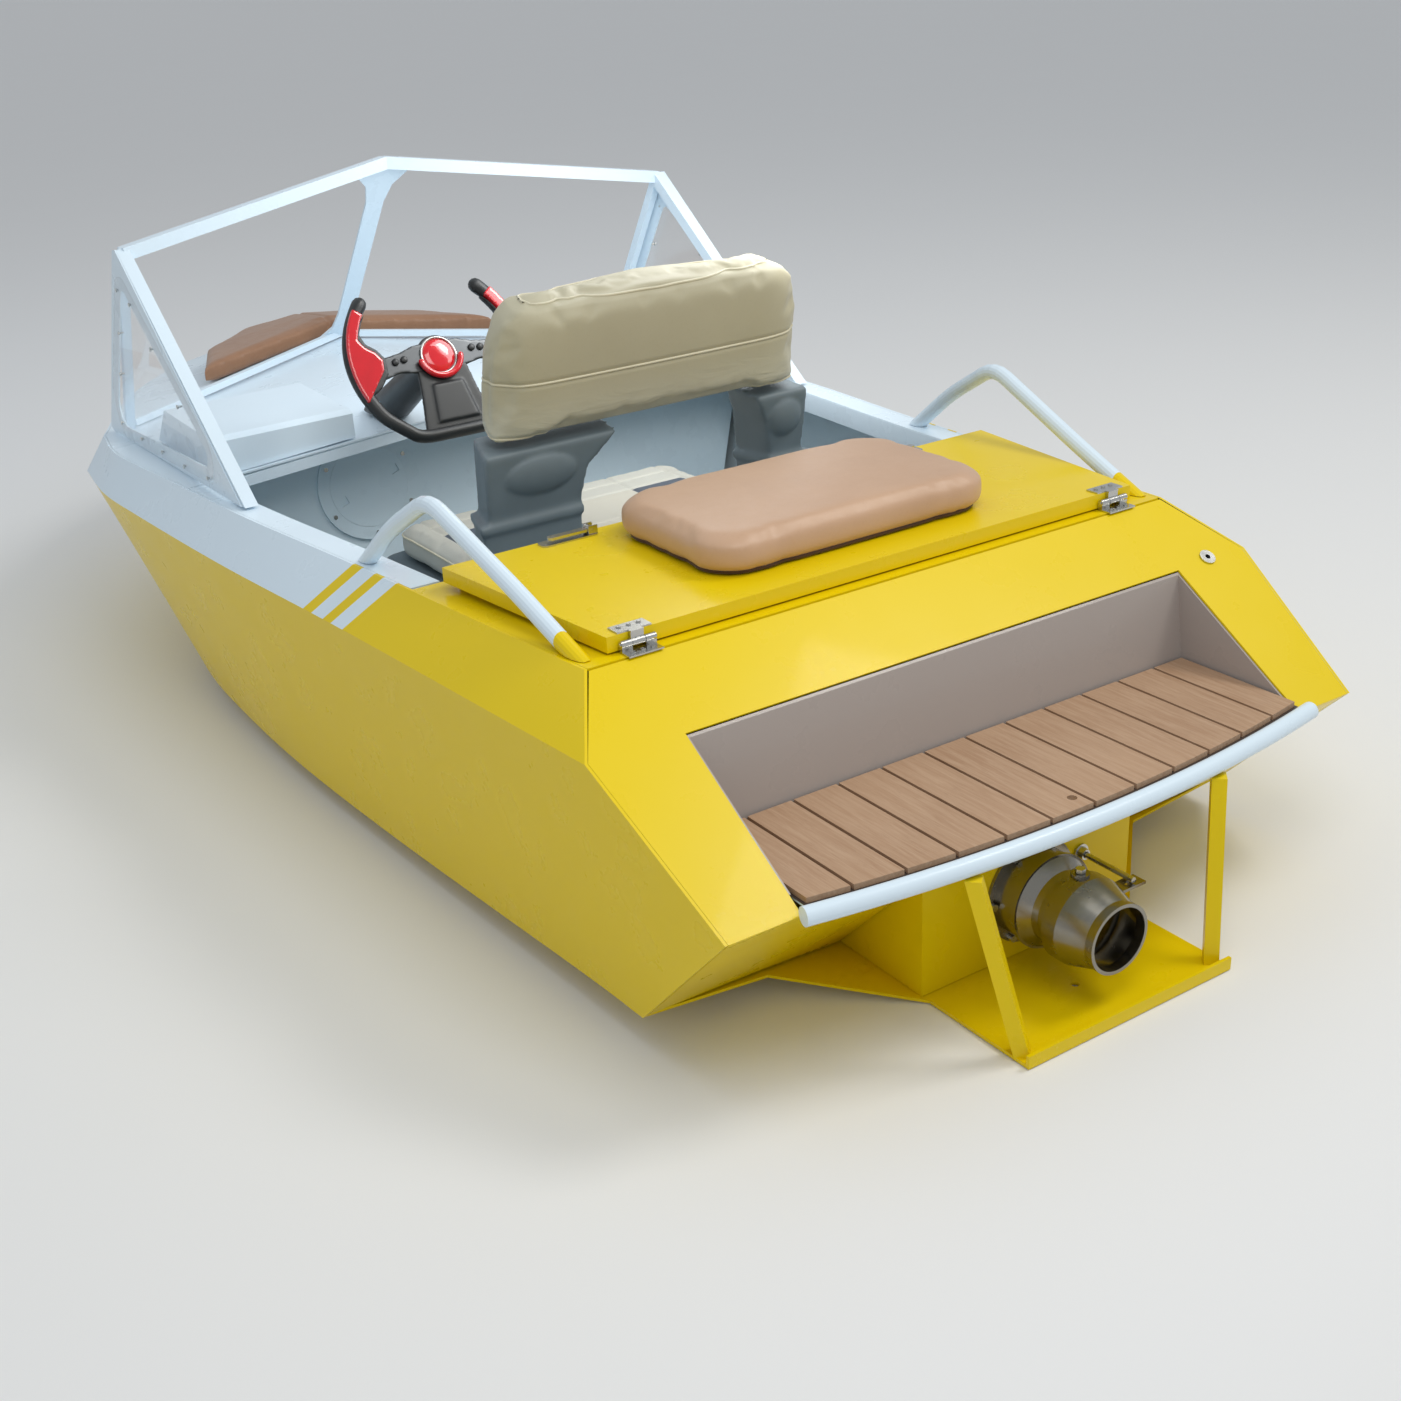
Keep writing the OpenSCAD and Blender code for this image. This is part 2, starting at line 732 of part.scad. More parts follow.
// Yoke rim: two upright arcs joined along a flat bottom
module wheel_rim() {
    flat = 0.86 * wheel_r;
    arc = [for (a = [45:-9:-36]) [wheel_r * cos(a), wheel_r * sin(a), 0]];
    knee = [
        for (q = [[0.62, -0.76], [0.53, -0.83], [0.40, -0.86]]) [q[0] * wheel_r, q[1] * wheel_r, 0]
    ];
    half = concat(arc, knee);
    color(black) at_wheel() {
        swept_tube(concat(half, [for (i = [len(half) - 1:-1:0]) flip_x(half)[i]]), 30, [0, 0, 1]);
        translate([0, 0, -3]) linear_extrude(6) difference() {
            union() {
                for (s = [-1, 1]) polygon([
                    [s * 0.98 * wheel_r, 26], [s * 60, 14], [0, 14], [0, -26], [s * 60, -26],
                    [s * 0.98 * wheel_r, -30]
                ]);
                polygon([
                    [-60, -20], [60, -20], [0.40 * wheel_r, -flat + 4], [-0.40 * wheel_r, -flat + 4]
                ]);
                circle(64);
            }
            translate([0, -0.60 * wheel_r]) circle(26);
        }
    }
}

module wheel_grips() {
    color(red) at_wheel() both_sides() wheel_arc(-18, 36) difference() {
        intersection() {
            circle(20);
            translate([-20, 3.4]) square([40, 20]);
        }
        circle(16.6);
    }
}

module wheel_hub() {
    color(red) at_wheel() difference() {
        union() {
            translate([0, 0, -quick_l - 3.4]) cylinder(r = 37, h = quick_l);
            translate([0, 0, -15]) cylinder(r = 42, h = 4);
        }
        translate([0, 0, -60]) cylinder(r = 12.05, h = 50);
    }
    color(red) at_wheel() translate([0, 0, 9]) difference() {
        rotate(195) rotate_extrude(angle = 150) translate([46, 0]) circle(d = 12, $fn = 24);
    }
}

module steering_column() {
    color(black) difference() {
        at_wheel() {
            translate([0, 0, -column_l]) cylinder(r1 = 44, r2 = 33, h = column_l - quick_l - 6);
            translate([0, 0, -quick_l - 8]) cylinder(r = 12, h = 24);
        }
        translate([-400, 1860, 300]) cube([400, 300, 287]);
    }
}

// ---- seat ----

// Local z up the leaning back, y forward through it
module on_back() {
    translate([0, 1168, 561]) rotate([10, 0, 0]) children();
}

module across_back(y0, y1) {
    translate([0, y1, 0]) rotate([90, 0, 0]) linear_extrude(y1 - y0) children();
}

// Sheet-metal pedestal, open below, around the fuel tank
module seat_base() {
    color(wall_blue) difference() {
        translate([-300, 1210, floor_z + gap]) cube([600, 430, 208]);
        translate([-296, 1214, floor_z - 1]) cube([592, 422, 205]);
        for (s = [-1, 1]) translate([s * 150, 1200, 170]) rotate([-90, 0, 0])
            cylinder(d = 60, h = 460);
    }
}

// Moulded shell: pan, raised aft corners and the two stumps that carry the back
module seat_shell() {
    color(shell_grey) {
        translate([0, 1440, 299.4]) soft_box([780, 540, 46], 60);
        translate([-385, 1172, 345]) cube([218, 100, 190]);
        translate([290, 1172, 345]) cube([95, 100, 190]);
        translate([-391, 1166, 530]) cube([230, 112, 16]);
        translate([284, 1166, 530]) cube([107, 112, 16]);
        on_back() across_back(4, 104) {
            polygon([[-371, -22], [-372, 123], [-84, 123], [-150, 60], [-168, -22]]);
            polygon([[371, -22], [372, 123], [244, 123], [272, 60], [290, -22]]);
        }
    }
}

module seat_back_cushion() {
    edge = [
        [-seat_back_half, 124], [-372, 300], [-352, 372], [-318, 404], [0, 421], [318, 404],
        [352, 372], [372, 300], [seat_back_half, 124]
    ];
    color(cream) on_back() across_back(0, 112) polygon(edge);
}

module seat_bottom_cushion() {
    color(charcoal) translate([0, 1486, 346]) soft_box([740, 420, seat_top - 346], 50);
}

module fuel_tank() {
    color(black) translate([0, 1425, floor_z + gap]) {
        soft_box([520, 360, 180], 40);
        translate([180, 0, 180]) cylinder(d = 70, h = 18);
    }
}

// ---- engine bay ----

module engine_block() {
    color(steel) {
        translate([-130, engine_y + 92, 62]) cube([260, 290, 148]);
        translate([-95, engine_y + 102, 210]) cube([190, 270, 130]);
        translate([-106, engine_y + 98, 340]) cube([212, 278, 52]);
        translate([-80, engine_y + 108, 392]) cube([160, 258, 40]);
        for (i = [0:2]) translate([0, engine_y + 155 + i * 82, 432]) cylinder(d = 34, h = 26);
        jet_axis(engine_y + 382) cylinder(r = 62, h = 36);
        both_sides() for (y = [120, 320]) {
            translate([125, engine_y + y, 84]) cube([52, 44, 14]);
            translate([155, engine_y + y + 22, 5.8]) cylinder(d = 36, h = 80);
        }
    }
}

module exhaust_manifold() {
    color(steel) {
        translate([142, engine_y + 110, 300]) rotate([-90, 0, 0]) cylinder(r = 34, h = 250);
        swept_tube(eased([[142, engine_y + 140, 300], [210, engine_y + 100, 240],
            [330, engine_y + 180, 180]], 34), 56, [0, 0, 1]);
        translate([330, engine_y + 110, 160]) rotate([-90, 0, 0]) cylinder(r = 86, h = 240);
        swept_tube(eased([[330, engine_y + 160, 200], [420, engine_y + 40, 330],
            [450, 330, 330]], 40), 48, [1, 0, 0]);
    }
}

// ---- jet unit ----

// Local z forward along the jet axis, from the given y
module jet_axis(y) {
    translate([0, y, jet_z]) rotate([-90, 0, 0]) children();
}

// Local z forward at one of the pump's flange bolts, from the box's aft face
module pump_bolt_at(a) {
    jet_axis(box_y) translate([bolt_circle_r * sin(a), bolt_circle_r * cos(a), 0]) children();
}

module jet_turned(profile) {
    jet_axis(0) rotate_extrude($fn = 72) polygon(profile);
}

module pump_housing() {
    r = pump_d / 2;
    b = pump_bore_d / 2;
    color(steel) {
        difference() {
            jet_turned([
                [b, barrel_aft_y + 4], [r, barrel_aft_y + 4], [r, box_y - 6], [flange_r, box_y - 6],
                [flange_r, box_y - 0.1], [b, box_y - 0.1]
            ]);
            for (a = bolt_angles) pump_bolt_at(a) cylinder(d = 8.4, h = 40, center = true);
        }
        // stator: hub with the aft shaft bearing, on seven vanes
        difference() {
            union() {
                jet_axis(barrel_aft_y + 4.5) cylinder(r1 = 22, r2 = 30, h = 16);
                for (i = [0:6]) jet_axis(barrel_aft_y + 5) rotate(i * 360 / 7) rotate([0, 14, 0])
                    translate([-1.5, 24, 0]) cube([3, b - 23, 14]);
            }
            jet_axis(barrel_aft_y + 8) cylinder(r = shaft_r + 0.05, h = 20);
        }
    }
}

// Fixed reducer with the upper and lower pivot bosses
module exit_cone() {
    y1 = barrel_aft_y + 3.5;
    color(steel) difference() {
        union() {
            jet_turned([
                [73, y1], [82, y1], [82, y1 - 7], [78, y1 - 7], [62, 20], [60, 8], [60, -25],
                [54, -25], [54, 8], [56, 18], [73, y1 - 6]
            ]);
            for (s = [-1, 1]) translate([0, nozzle_pivot_y, jet_z + s * 62])
                cylinder(d = 26, h = 8.6, center = true);
        }
        translate([0, nozzle_pivot_y, jet_z]) cylinder(r = 5, h = 200, center = true);
    }
}

// Flange bolts of the pump and the two bolts the nozzle swings on
module pump_bolts() {
    color(steel) {
        for (a = bolt_angles) pump_bolt_at(a) {
            translate([0, 0, -14]) cylinder(d = 12, h = 8);
            translate([0, 0, -6]) cylinder(d = 8, h = 18);
        }
        for (s = [-1, 1]) translate([0, nozzle_pivot_y, jet_z]) mirror([0, 0, s < 0 ? 1 : 0]) {
            translate([0, 0, 57]) cylinder(r = 5, h = 23);
            translate([0, 0, 79.6]) cylinder(d = 17, h = 7, $fn = 6);
        }
    }
}

// Swinging outlet with its pivot ears and slotted arm
module steering_nozzle() {
    r = outlet_d / 2;
    color(steel) difference() {
        union() {
            jet_turned([
                [70, -15], [75, -15], [75, -42], [r + 1, -92], [r + 1, -98], [r + 2, -98],
                [r + 2, outlet_y], [r - 4, outlet_y], [r - 4, -90], [70, -42]
            ]);
            for (s = [-1, 1]) translate([0, nozzle_pivot_y, jet_z + s * 72.8])
                cylinder(d = 30, h = 12, center = true);
            translate([70, nozzle_pivot_y - 14, arm_z]) cube([64, 28, 5]);
        }
        translate([0, nozzle_pivot_y, jet_z]) cylinder(r = 5.05, h = 200, center = true);
        translate([0, 0, arm_z - 1]) linear_extrude(8) {
            translate([arm_x - 7, nozzle_pivot_y - 5.5]) square([14, 11]);
            for (x = [arm_x - 7, arm_x + 7]) translate([x, nozzle_pivot_y]) circle(5.5);
        }
    }
}

// Sliding end of the steering cable, with the pin that works the nozzle's arm
module push_rod() {
    color(steel) {
        rod([arm_x, nozzle_pivot_y - 8, rod_z], [arm_x, 158, rod_z], 10);
        translate([arm_x, nozzle_pivot_y, 134]) cylinder(r = rod_pin_r, h = rod_z - 134);
    }
}

module steering_cable() {
    color(black) swept_tube(eased([
        [arm_x, 214, rod_z], [arm_x, 510, rod_z], [60, 545, 240], [-180, 548, 200],
        [-330, 640, 58], [-340, 2016, 58], [-290, 2110, 120], [-212, 2060, 500]
    ], 22), 12, [0.7, 0.2, 0.7]);
}

module drive_shaft() {
    color(steel) {
        jet_axis(barrel_aft_y + 10) cylinder(r = shaft_r, h = engine_y + 90 - barrel_aft_y - 10);
        jet_axis(engine_y + 10) cylinder(r = 46, h = 24);
        jet_axis(engine_y + 36) cylinder(r = 46, h = 24);
        jet_axis(engine_y + 30) cylinder(r = 34, h = 10);
    }
}

module impeller() {
    r = pump_bore_d / 2 - 0.6;
    y0 = barrel_aft_y + 22;
    color(steel) difference() {
        union() {
            jet_axis(y0) cylinder(r1 = 30, r2 = 22, h = 44);
            intersection() {
                for (i = [0:3]) jet_axis(y0 + 20) rotate(i * 90) rotate([0, 52, 0])
                    translate([-1.5, 20, -30]) cube([3, r, 60]);
                jet_axis(y0 + 1) cylinder(r = r, h = 40);
            }
        }
        jet_axis(y0 - 1) cylinder(r = shaft_r, h = 60);
    }
}

// ---- hatch ----

module lid_outline(inset) {
    polygon([
        [-lid_half_aft + inset, lid_y0 + inset], [lid_half_aft - inset, lid_y0 + inset],
        [lid_half_fwd - inset, lid_y0 + lid_l - inset],
        [-lid_half_fwd + inset, lid_y0 + lid_l - inset]
    ]);
}

module hatch_lid() {
    color(yellow) difference() {
        translate([0, 0, lid_top - lid_wall]) linear_extrude(lid_wall) lid_outline(0);
        translate([0, 0, lid_top - lid_wall - 1]) linear_extrude(lid_wall - 3) lid_outline(4);
        for (s = [-1, 1]) for (i = [-1:1])
            translate([s * hinge_x + i * 18, lid_y0 + 18, lid_top - 10]) cylinder(d = 4.2, h = 20);
    }
}

module hatch_cushion() {
    color(tan_leather) translate([0, 676, lid_top + 0.2]) soft_box([636, 392, hatch_pad_h], 90);
}

module hinge_fixed_leaves() {
    color(steel) for (s = [-1, 1]) translate([s * hinge_x, 0, 0]) {
        difference() {
            union() {
                translate([-31, 400, deck_h + 0.2]) cube([62, 26, 2.5]);
                for (x = [-31, 12.4]) {
                    translate([x, hinge_y - 5, deck_h + 0.2]) cube([18.6, 10, 10]);
                    knuckle(x, 18.6, 6);
                }
            }
            knuckle(-40, 80, hinge_pin_r + 0.05);
        }
        for (i = [-1:1]) translate([i * 18, 411, deck_h + 2.6]) screw(8);
    }
}

module hinge_lid_leaves() {
    color(steel) for (s = [-1, 1]) translate([s * hinge_x, 0, 0]) {
        translate([-31, lid_y0 + 0.5, lid_top + 0.2]) cube([62, 28, 2.5]);
        translate([-11.6, hinge_y - 1, lid_top + 0.2]) cube([23.2, 14, 2.5]);
        translate([-11.6, hinge_y, hinge_z]) cube([23.2, 6, lid_top + 1 - hinge_z]);
        knuckle(-11.6, 23.2, 6);
        knuckle(-33, 66, hinge_pin_r);
        for (i = [-1:1]) translate([i * 18, lid_y0 + 18, lid_top + 2.6]) screw(8);
    }
}

module knuckle(x, l, r) {
    translate([x, hinge_y, hinge_z]) rotate([0, 90, 0]) cylinder(r = r, h = l);
}

module latch_bases() {
    color(steel) both_sides() {
        translate([latch_x + 45, latch_y, lid_top + 0.2]) soft_box([112, 28, 2.8], 8);
        difference() {
            for (y = [-11, 8]) translate([latch_x - 9, latch_y + y, lid_top + 1]) cube([18, 3, 17]);
            latch_pin(40, latch_pin_r + 0.05);
        }
    }
}

module latch_pin(l, r) {
    translate([latch_x, latch_y, latch_pin_z]) rotate([90, 0, 0])
        cylinder(r = r, h = l, center = true);
}

module latch_lever() {
    color(steel) {
        latch_pin(15, 5.5);
        latch_pin(23, latch_pin_r);
        translate([latch_x, latch_y - 7.5, latch_pin_z - 2.5]) cube([78, 15, 5]);
        translate([latch_x + 78, latch_y, latch_pin_z - 2.5]) cylinder(d = 15, h = 5);
    }
}
module latch_lever_starboard() {
    latch_lever();
}
module latch_lever_port() {
    mirror([1, 0, 0]) latch_lever();
}

// ---- small parts ----

// Overboard drain on the stern slope and the rubber boot around the push rod
module stern_fittings() {
    color(steel) on_slope() translate([597, 336, 0]) difference() {
        union() {
            translate([0, 0, 0.2]) cylinder(d = 30, h = 3);
            translate([0, 0, -28]) cylinder(d = 16, h = 29);
        }
        translate([0, 0, -40]) cylinder(d = 10, h = 60);
    }
    color(black) translate([arm_x, box_y - 0.2, rod_z]) rotate([90, 0, 0]) difference() {
        union() {
            cylinder(d = 30, h = 4);
            cylinder(d1 = 24, d2 = 18, h = 14);
        }
        translate([0, 0, -1]) cylinder(d = 12, h = 30);
    }
}

// Two flat wings that follow the crown of the foredeck
module bow_pad() {
    side = [[420, 2620, 600], [330, 2860, 594], [160, 3040, 593]];
    middle = [[0, 2770, 646], [0, 2900, 632], [0, 3040, 613]];
    color(tan_leather)
        grid_plate(rows_of([flip_x(side), middle, side]), [for (i = [0:2]) [0, 0, -bow_pad_t]]);
}

module throttle_pedal() {
    color(black) {
        translate([pedal_x, pedal_y, pedal_z]) rotate([0, 90, 0])
            cylinder(r = 5, h = 70, center = true);
        translate([pedal_x - 32, pedal_y, pedal_z]) rotate([32, 0, 0]) translate([0, -3, 0])
            cube([64, 6, 130]);
    }
}

// ---- the boat ----

in_place() {
    hull_bottom();
    side_panel_port();
    side_panel_starboard();
    bow_panel_port();
    bow_panel_starboard();
    sheer_band_port();
    sheer_band_starboard();
    bow_nose_plate();
    transom_plate();
    jet_box();
    jet_guard_plate();
    bow_pad();
    stern_slope_panel();
    recess_bulkhead();
    platform_plate();
    teak_planks();
    platform_rail();
    stern_deck();
    coamings();
    foredeck();
    dash_console();
    front_bulkhead();
    inspection_ring();
    panel_screws();
    engine_bulkhead();
    cockpit_floor();
    windscreen_frame();
    wing_panels();
    wing_panes();
    grab_rails();
    steering_column();
    seat_base();
    seat_shell();
    seat_back_cushion();
    seat_bottom_cushion();
    fuel_tank();
    engine_block();
    exhaust_manifold();
    pump_housing();
    exit_cone();
    pump_bolts();
    steering_cable();
    hinge_fixed_leaves();
    stern_fittings();
    intake_grate();
    hatch_lid();
    hatch_cushion();
    hinge_lid_leaves();
    latch_bases();
    latch_lever_port();
    latch_lever_starboard();
    wheel_rim();
    wheel_grips();
    wheel_hub();
    steering_nozzle();
    push_rod();
    drive_shaft();
    impeller();
    inspection_lid();
    throttle_pedal();
}
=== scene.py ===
"""Looks of the mini jet boat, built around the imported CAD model.

Metres, with x to starboard, y to the bow and z up.
"""
import bpy
import bmesh
import math
from mathutils import Matrix, Vector
from mathutils.bvhtree import BVHTree


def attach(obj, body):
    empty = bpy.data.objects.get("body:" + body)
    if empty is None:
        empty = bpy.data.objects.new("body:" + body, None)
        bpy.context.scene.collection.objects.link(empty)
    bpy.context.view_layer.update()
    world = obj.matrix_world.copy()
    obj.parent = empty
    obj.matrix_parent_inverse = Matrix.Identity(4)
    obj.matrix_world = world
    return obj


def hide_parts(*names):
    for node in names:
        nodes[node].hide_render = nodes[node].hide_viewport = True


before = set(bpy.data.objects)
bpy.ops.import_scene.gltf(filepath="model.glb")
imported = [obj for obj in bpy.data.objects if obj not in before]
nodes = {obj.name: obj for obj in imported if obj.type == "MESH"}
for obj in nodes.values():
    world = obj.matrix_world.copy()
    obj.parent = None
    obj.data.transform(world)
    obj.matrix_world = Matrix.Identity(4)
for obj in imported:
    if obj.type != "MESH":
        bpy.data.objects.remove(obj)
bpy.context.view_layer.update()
scene = bpy.context.scene

# ------------------------------------------------------------------ camera

# Fitted to the photograph: the camera's axes, and its place in hull coordinates moved by HULL_SHIFT_Y.
HULL_SHIFT_Y = -1.6
RIGHT = Vector((0.83259, -0.55151, -0.0514))
UP = Vector((0.26999, 0.32307, 0.90705))
BACK = Vector((-0.48364, -0.76907, 0.41788))
eye = Vector((-1.7519, -1.6892 + HULL_SHIFT_Y, 1.5896))
cam_data = bpy.data.cameras.new("camera")
cam = bpy.data.objects.new("camera", cam_data)
scene.collection.objects.link(cam)
cam.matrix_world = Matrix((
    (RIGHT.x, UP.x, BACK.x, eye.x),
    (RIGHT.y, UP.y, BACK.y, eye.y),
    (RIGHT.z, UP.z, BACK.z, eye.z),
    (0, 0, 0, 1),
))
cam_data.lens = 44.975
cam_data.sensor_width = 36.0
cam_data.shift_x = 0.00968
cam_data.shift_y = 0.00872
cam_data.dof.use_dof = False
scene.camera = cam
# Colours are matched to the photograph under this transform.
scene.view_settings.view_transform = "Standard"

# ------------------------------------------------------------------ helpers


def new_object(name, data, body):
    o = bpy.data.objects.new(name, data)
    scene.collection.objects.link(o)
    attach(o, body)
    return o


def mesh_from(name, verts, faces, smooth=True):
    me = bpy.data.meshes.new(name)
    me.from_pydata([tuple(v) for v in verts], [], faces)
    me.validate()
    me.update()
    for p in me.polygons:
        p.use_smooth = smooth
    return me


def set_material(o, mat):
    o.data.materials.clear()
    o.data.materials.append(mat)


def node(nt, kind, **values):
    n = nt.nodes.new(kind)
    for k, v in values.items():
        setattr(n, k, v)
    return n


class Mat:
    """Principled material with object-space detail added a layer at a time."""

    # Sockets of the Mix node when it mixes colours
    MIX_FACTOR, MIX_UNDER, MIX_OVER, MIX_RESULT = 0, 6, 7, 2

    def __init__(self, name, color, rough=0.5, metal=0.0, coat=0.0, ior=1.5, sheen=0.0):
        self.m = bpy.data.materials.new(name)
        self.m.use_nodes = True
        self.nt = self.m.node_tree
        self.p = self.nt.nodes["Principled BSDF"]
        self.p.inputs["Base Color"].default_value = (*color, 1)
        self.p.inputs["Roughness"].default_value = rough
        self.p.inputs["Metallic"].default_value = metal
        self.p.inputs["Coat Weight"].default_value = coat
        self.p.inputs["Coat Roughness"].default_value = 0.06
        self.p.inputs["IOR"].default_value = ior
        self.p.inputs["Sheen Weight"].default_value = sheen
        self.tc = node(self.nt, "ShaderNodeTexCoord")
        self.height = None
        self.color = None
        self.color_value = (*color, 1)

    def link(self, a, b):
        self.nt.links.new(a, b)

    def coords(self, scale=(1, 1, 1)):
        mp = node(self.nt, "ShaderNodeMapping")
        mp.inputs["Scale"].default_value = scale
        self.link(self.tc.outputs["Object"], mp.inputs["Vector"])
        return mp.outputs["Vector"]

    def noise(self, scale, detail=4.0, rough=0.55, stretch=(1, 1, 1), distortion=0.0):
        n = node(self.nt, "ShaderNodeTexNoise")
        n.inputs["Scale"].default_value = scale
        n.inputs["Detail"].default_value = detail
        n.inputs["Roughness"].default_value = rough
        n.inputs["Distortion"].default_value = distortion
        self.link(self.coords(stretch), n.inputs["Vector"])
        return n.outputs["Fac"]

    def voronoi(self, scale, feature="F1"):
        n = node(self.nt, "ShaderNodeTexVoronoi", feature=feature)
        n.inputs["Scale"].default_value = scale
        self.link(self.coords(), n.inputs["Vector"])
        return n.outputs["Distance"]

    def ramp(self, fac, stops):
        r = node(self.nt, "ShaderNodeValToRGB")
        cr = r.color_ramp
        while len(cr.elements) > 1:
            cr.elements.remove(cr.elements[-1])
        cr.elements[0].position = stops[0][0]
        cr.elements[0].color = self._rgba(stops[0][1])
        for pos, col in stops[1:]:
            e = cr.elements.new(pos)
            e.color = self._rgba(col)
        self.link(fac, r.inputs["Fac"])
        return r.outputs["Color"]

    @staticmethod
    def _rgba(c):
        return (c, c, c, 1) if isinstance(c, (int, float)) else (*c, 1)

    def math(self, op, a, b=None):
        n = node(self.nt, "ShaderNodeMath", operation=op)
        for i, v in enumerate((a, b)):
            if v is None:
                continue
            if isinstance(v, (int, float)):
                n.inputs[i].default_value = v
            else:
                self.link(v, n.inputs[i])
        return n.outputs[0]

    def mix(self, fac, col):
        """Lay col over the base colour by fac."""
        n = node(self.nt, "ShaderNodeMix", data_type="RGBA")
        self.link(fac, n.inputs[self.MIX_FACTOR])
        if self.color is None:
            n.inputs[self.MIX_UNDER].default_value = self.color_value
        else:
            self.link(self.color, n.inputs[self.MIX_UNDER])
        n.inputs[self.MIX_OVER].default_value = (*col, 1)
        self.color = n.outputs[self.MIX_RESULT]
        self.link(self.color, self.p.inputs["Base Color"])
        return self

    def roughness(self, fac, low, high):
        mr = node(self.nt, "ShaderNodeMapRange")
        mr.inputs["To Min"].default_value = low
        mr.inputs["To Max"].default_value = high
        self.link(fac, mr.inputs["Value"])
        self.link(mr.outputs[0], self.p.inputs["Roughness"])
        return self

    def bump(self, height, strength=0.1, distance=0.001):
        b = node(self.nt, "ShaderNodeBump")
        b.inputs["Strength"].default_value = strength
        b.inputs["Distance"].default_value = distance
        self.link(height, b.inputs["Height"])
        if self.height is not None:
            self.link(self.height, b.inputs["Normal"])
        self.height = b.outputs["Normal"]
        self.link(self.height, self.p.inputs["Normal"])
        return self

    def axis(self, which):
        s = node(self.nt, "ShaderNodeSeparateXYZ")
        self.link(self.tc.outputs["Object"], s.inputs[0])
        return s.outputs[which]


# ------------------------------------------------------------------ materials

# Where the slanted stripes of the gunwale start and end, along y at the height STRIPE_Z
STRIPE_EDGES = (-0.560, -0.516, -0.486, -0.442, -0.410)
STRIPE_Z, STRIPE_SLANT = 0.474, 0.81
# The aft feet of the grab rails are yellow aft of RAIL_FOOT_Y and below RAIL_FOOT_Z
RAIL_FOOT_Y, RAIL_FOOT_Z = -1.10, 0.603
# Seams of the seat's bottom cushion: the cross seam, and the half widths of its dark part and insert
SEAT_SEAM_Y, SEAT_DARK_HALF, SEAT_INSERT_HALF = -0.06, 0.30, 0.165
# Above this the platform plate shows as dark caulk between the planks
CAULK_Z = 0.3240


def paint(name, color, grime):
    m = Mat(name, color, rough=0.30, coat=0.10)
    m.p.inputs["Specular IOR Level"].default_value = 0.24
    tone = m.noise(2.2, detail=3)
    m.mix(m.ramp(tone, [(0.35, 0.0), (0.75, 0.10)]), tuple(c * 0.88 for c in color))
    dust = m.noise(38, detail=6, rough=0.7)
    m.mix(m.ramp(dust, [(0.66, 0.0), (0.90, 0.10)]), grime)
    m.roughness(m.noise(9, detail=5), 0.20, 0.38)
    m.bump(m.noise(420, detail=2), 0.04, 0.0006)
    m.bump(m.noise(6, detail=2), 0.10, 0.004)
    return m


YELLOW = (0.82, 0.60, 0.001)
WHITE = (0.72, 0.84, 0.93)
WHITE_GRIME = (0.50, 0.52, 0.50)
yellow = paint("yellow_paint", YELLOW, (0.55, 0.40, 0.03))
white = paint("white_paint", WHITE, WHITE_GRIME)
interior = paint("interior_paint", (0.72, 0.85, 0.92), (0.34, 0.38, 0.40))
recess = paint("recess_paint", (0.42, 0.37, 0.34), (0.28, 0.25, 0.22))


def band_paint():
    """White gunwale with two slanted stripes, yellow aft of them."""
    m = paint("band_paint", WHITE, WHITE_GRIME)
    s = m.math("ADD", m.axis(1), m.math("MULTIPLY", m.math("SUBTRACT", m.axis(2), STRIPE_Z), STRIPE_SLANT))
    a, b, c, d, e = STRIPE_EDGES
    cover = m.math("LESS_THAN", s, a)
    for lo, hi in ((b, c), (d, e)):
        inside = m.math("MULTIPLY", m.math("GREATER_THAN", s, lo), m.math("LESS_THAN", s, hi))
        cover = m.math("MAXIMUM", cover, inside)
    m.mix(cover, YELLOW)
    return m


band = band_paint()


def metal(name, color, rough, scratch_axis=(1, 1, 14), streak=0.25):
    m = Mat(name, color, rough=rough, metal=1.0)
    brushed = m.noise(90, detail=6, rough=0.7, stretch=scratch_axis)
    m.mix(m.ramp(brushed, [(0.3, 0.0), (0.8, streak)]), tuple(c * 0.55 for c in color))
    m.roughness(m.noise(26, detail=6), max(rough - 0.12, 0.05), rough + 0.16)
    m.bump(brushed, 0.05, 0.0004)
    return m


def rail_paint():
    """White rails whose aft feet are yellow."""
    m = paint("rail_paint", WHITE, WHITE_GRIME)
    foot = m.math("MULTIPLY", m.math("LESS_THAN", m.axis(1), RAIL_FOOT_Y),
                  m.math("LESS_THAN", m.axis(2), RAIL_FOOT_Z))
    m.mix(foot, YELLOW)
    return m


rails = rail_paint()
steel = metal("stainless", (0.62, 0.62, 0.60), 0.24)
jet_steel = metal("jet_stainless", (0.34, 0.32, 0.28), 0.22, scratch_axis=(14, 1, 14), streak=0.5)
dark_silver = metal("dark_silver", (0.10, 0.105, 0.11), 0.36)
alloy = metal("cast_alloy", (0.36, 0.37, 0.39), 0.48, scratch_axis=(1, 1, 1))
exhaust = metal("exhaust_alloy", (0.20, 0.19, 0.18), 0.52, scratch_axis=(1, 1, 1))


def plastic(name, color, rough, grain=900, coat=0.0):
    m = Mat(name, color, rough=rough, coat=coat)
    pale = tuple(min(c * 1.5 + 0.01, 1) for c in color)
    m.mix(m.ramp(m.noise(12, detail=5), [(0.4, 0.0), (0.8, 0.25)]), pale)
    m.roughness(m.noise(30, detail=4), rough - 0.06, rough + 0.10)
    m.bump(m.voronoi(grain), 0.10, 0.0004)
    return m


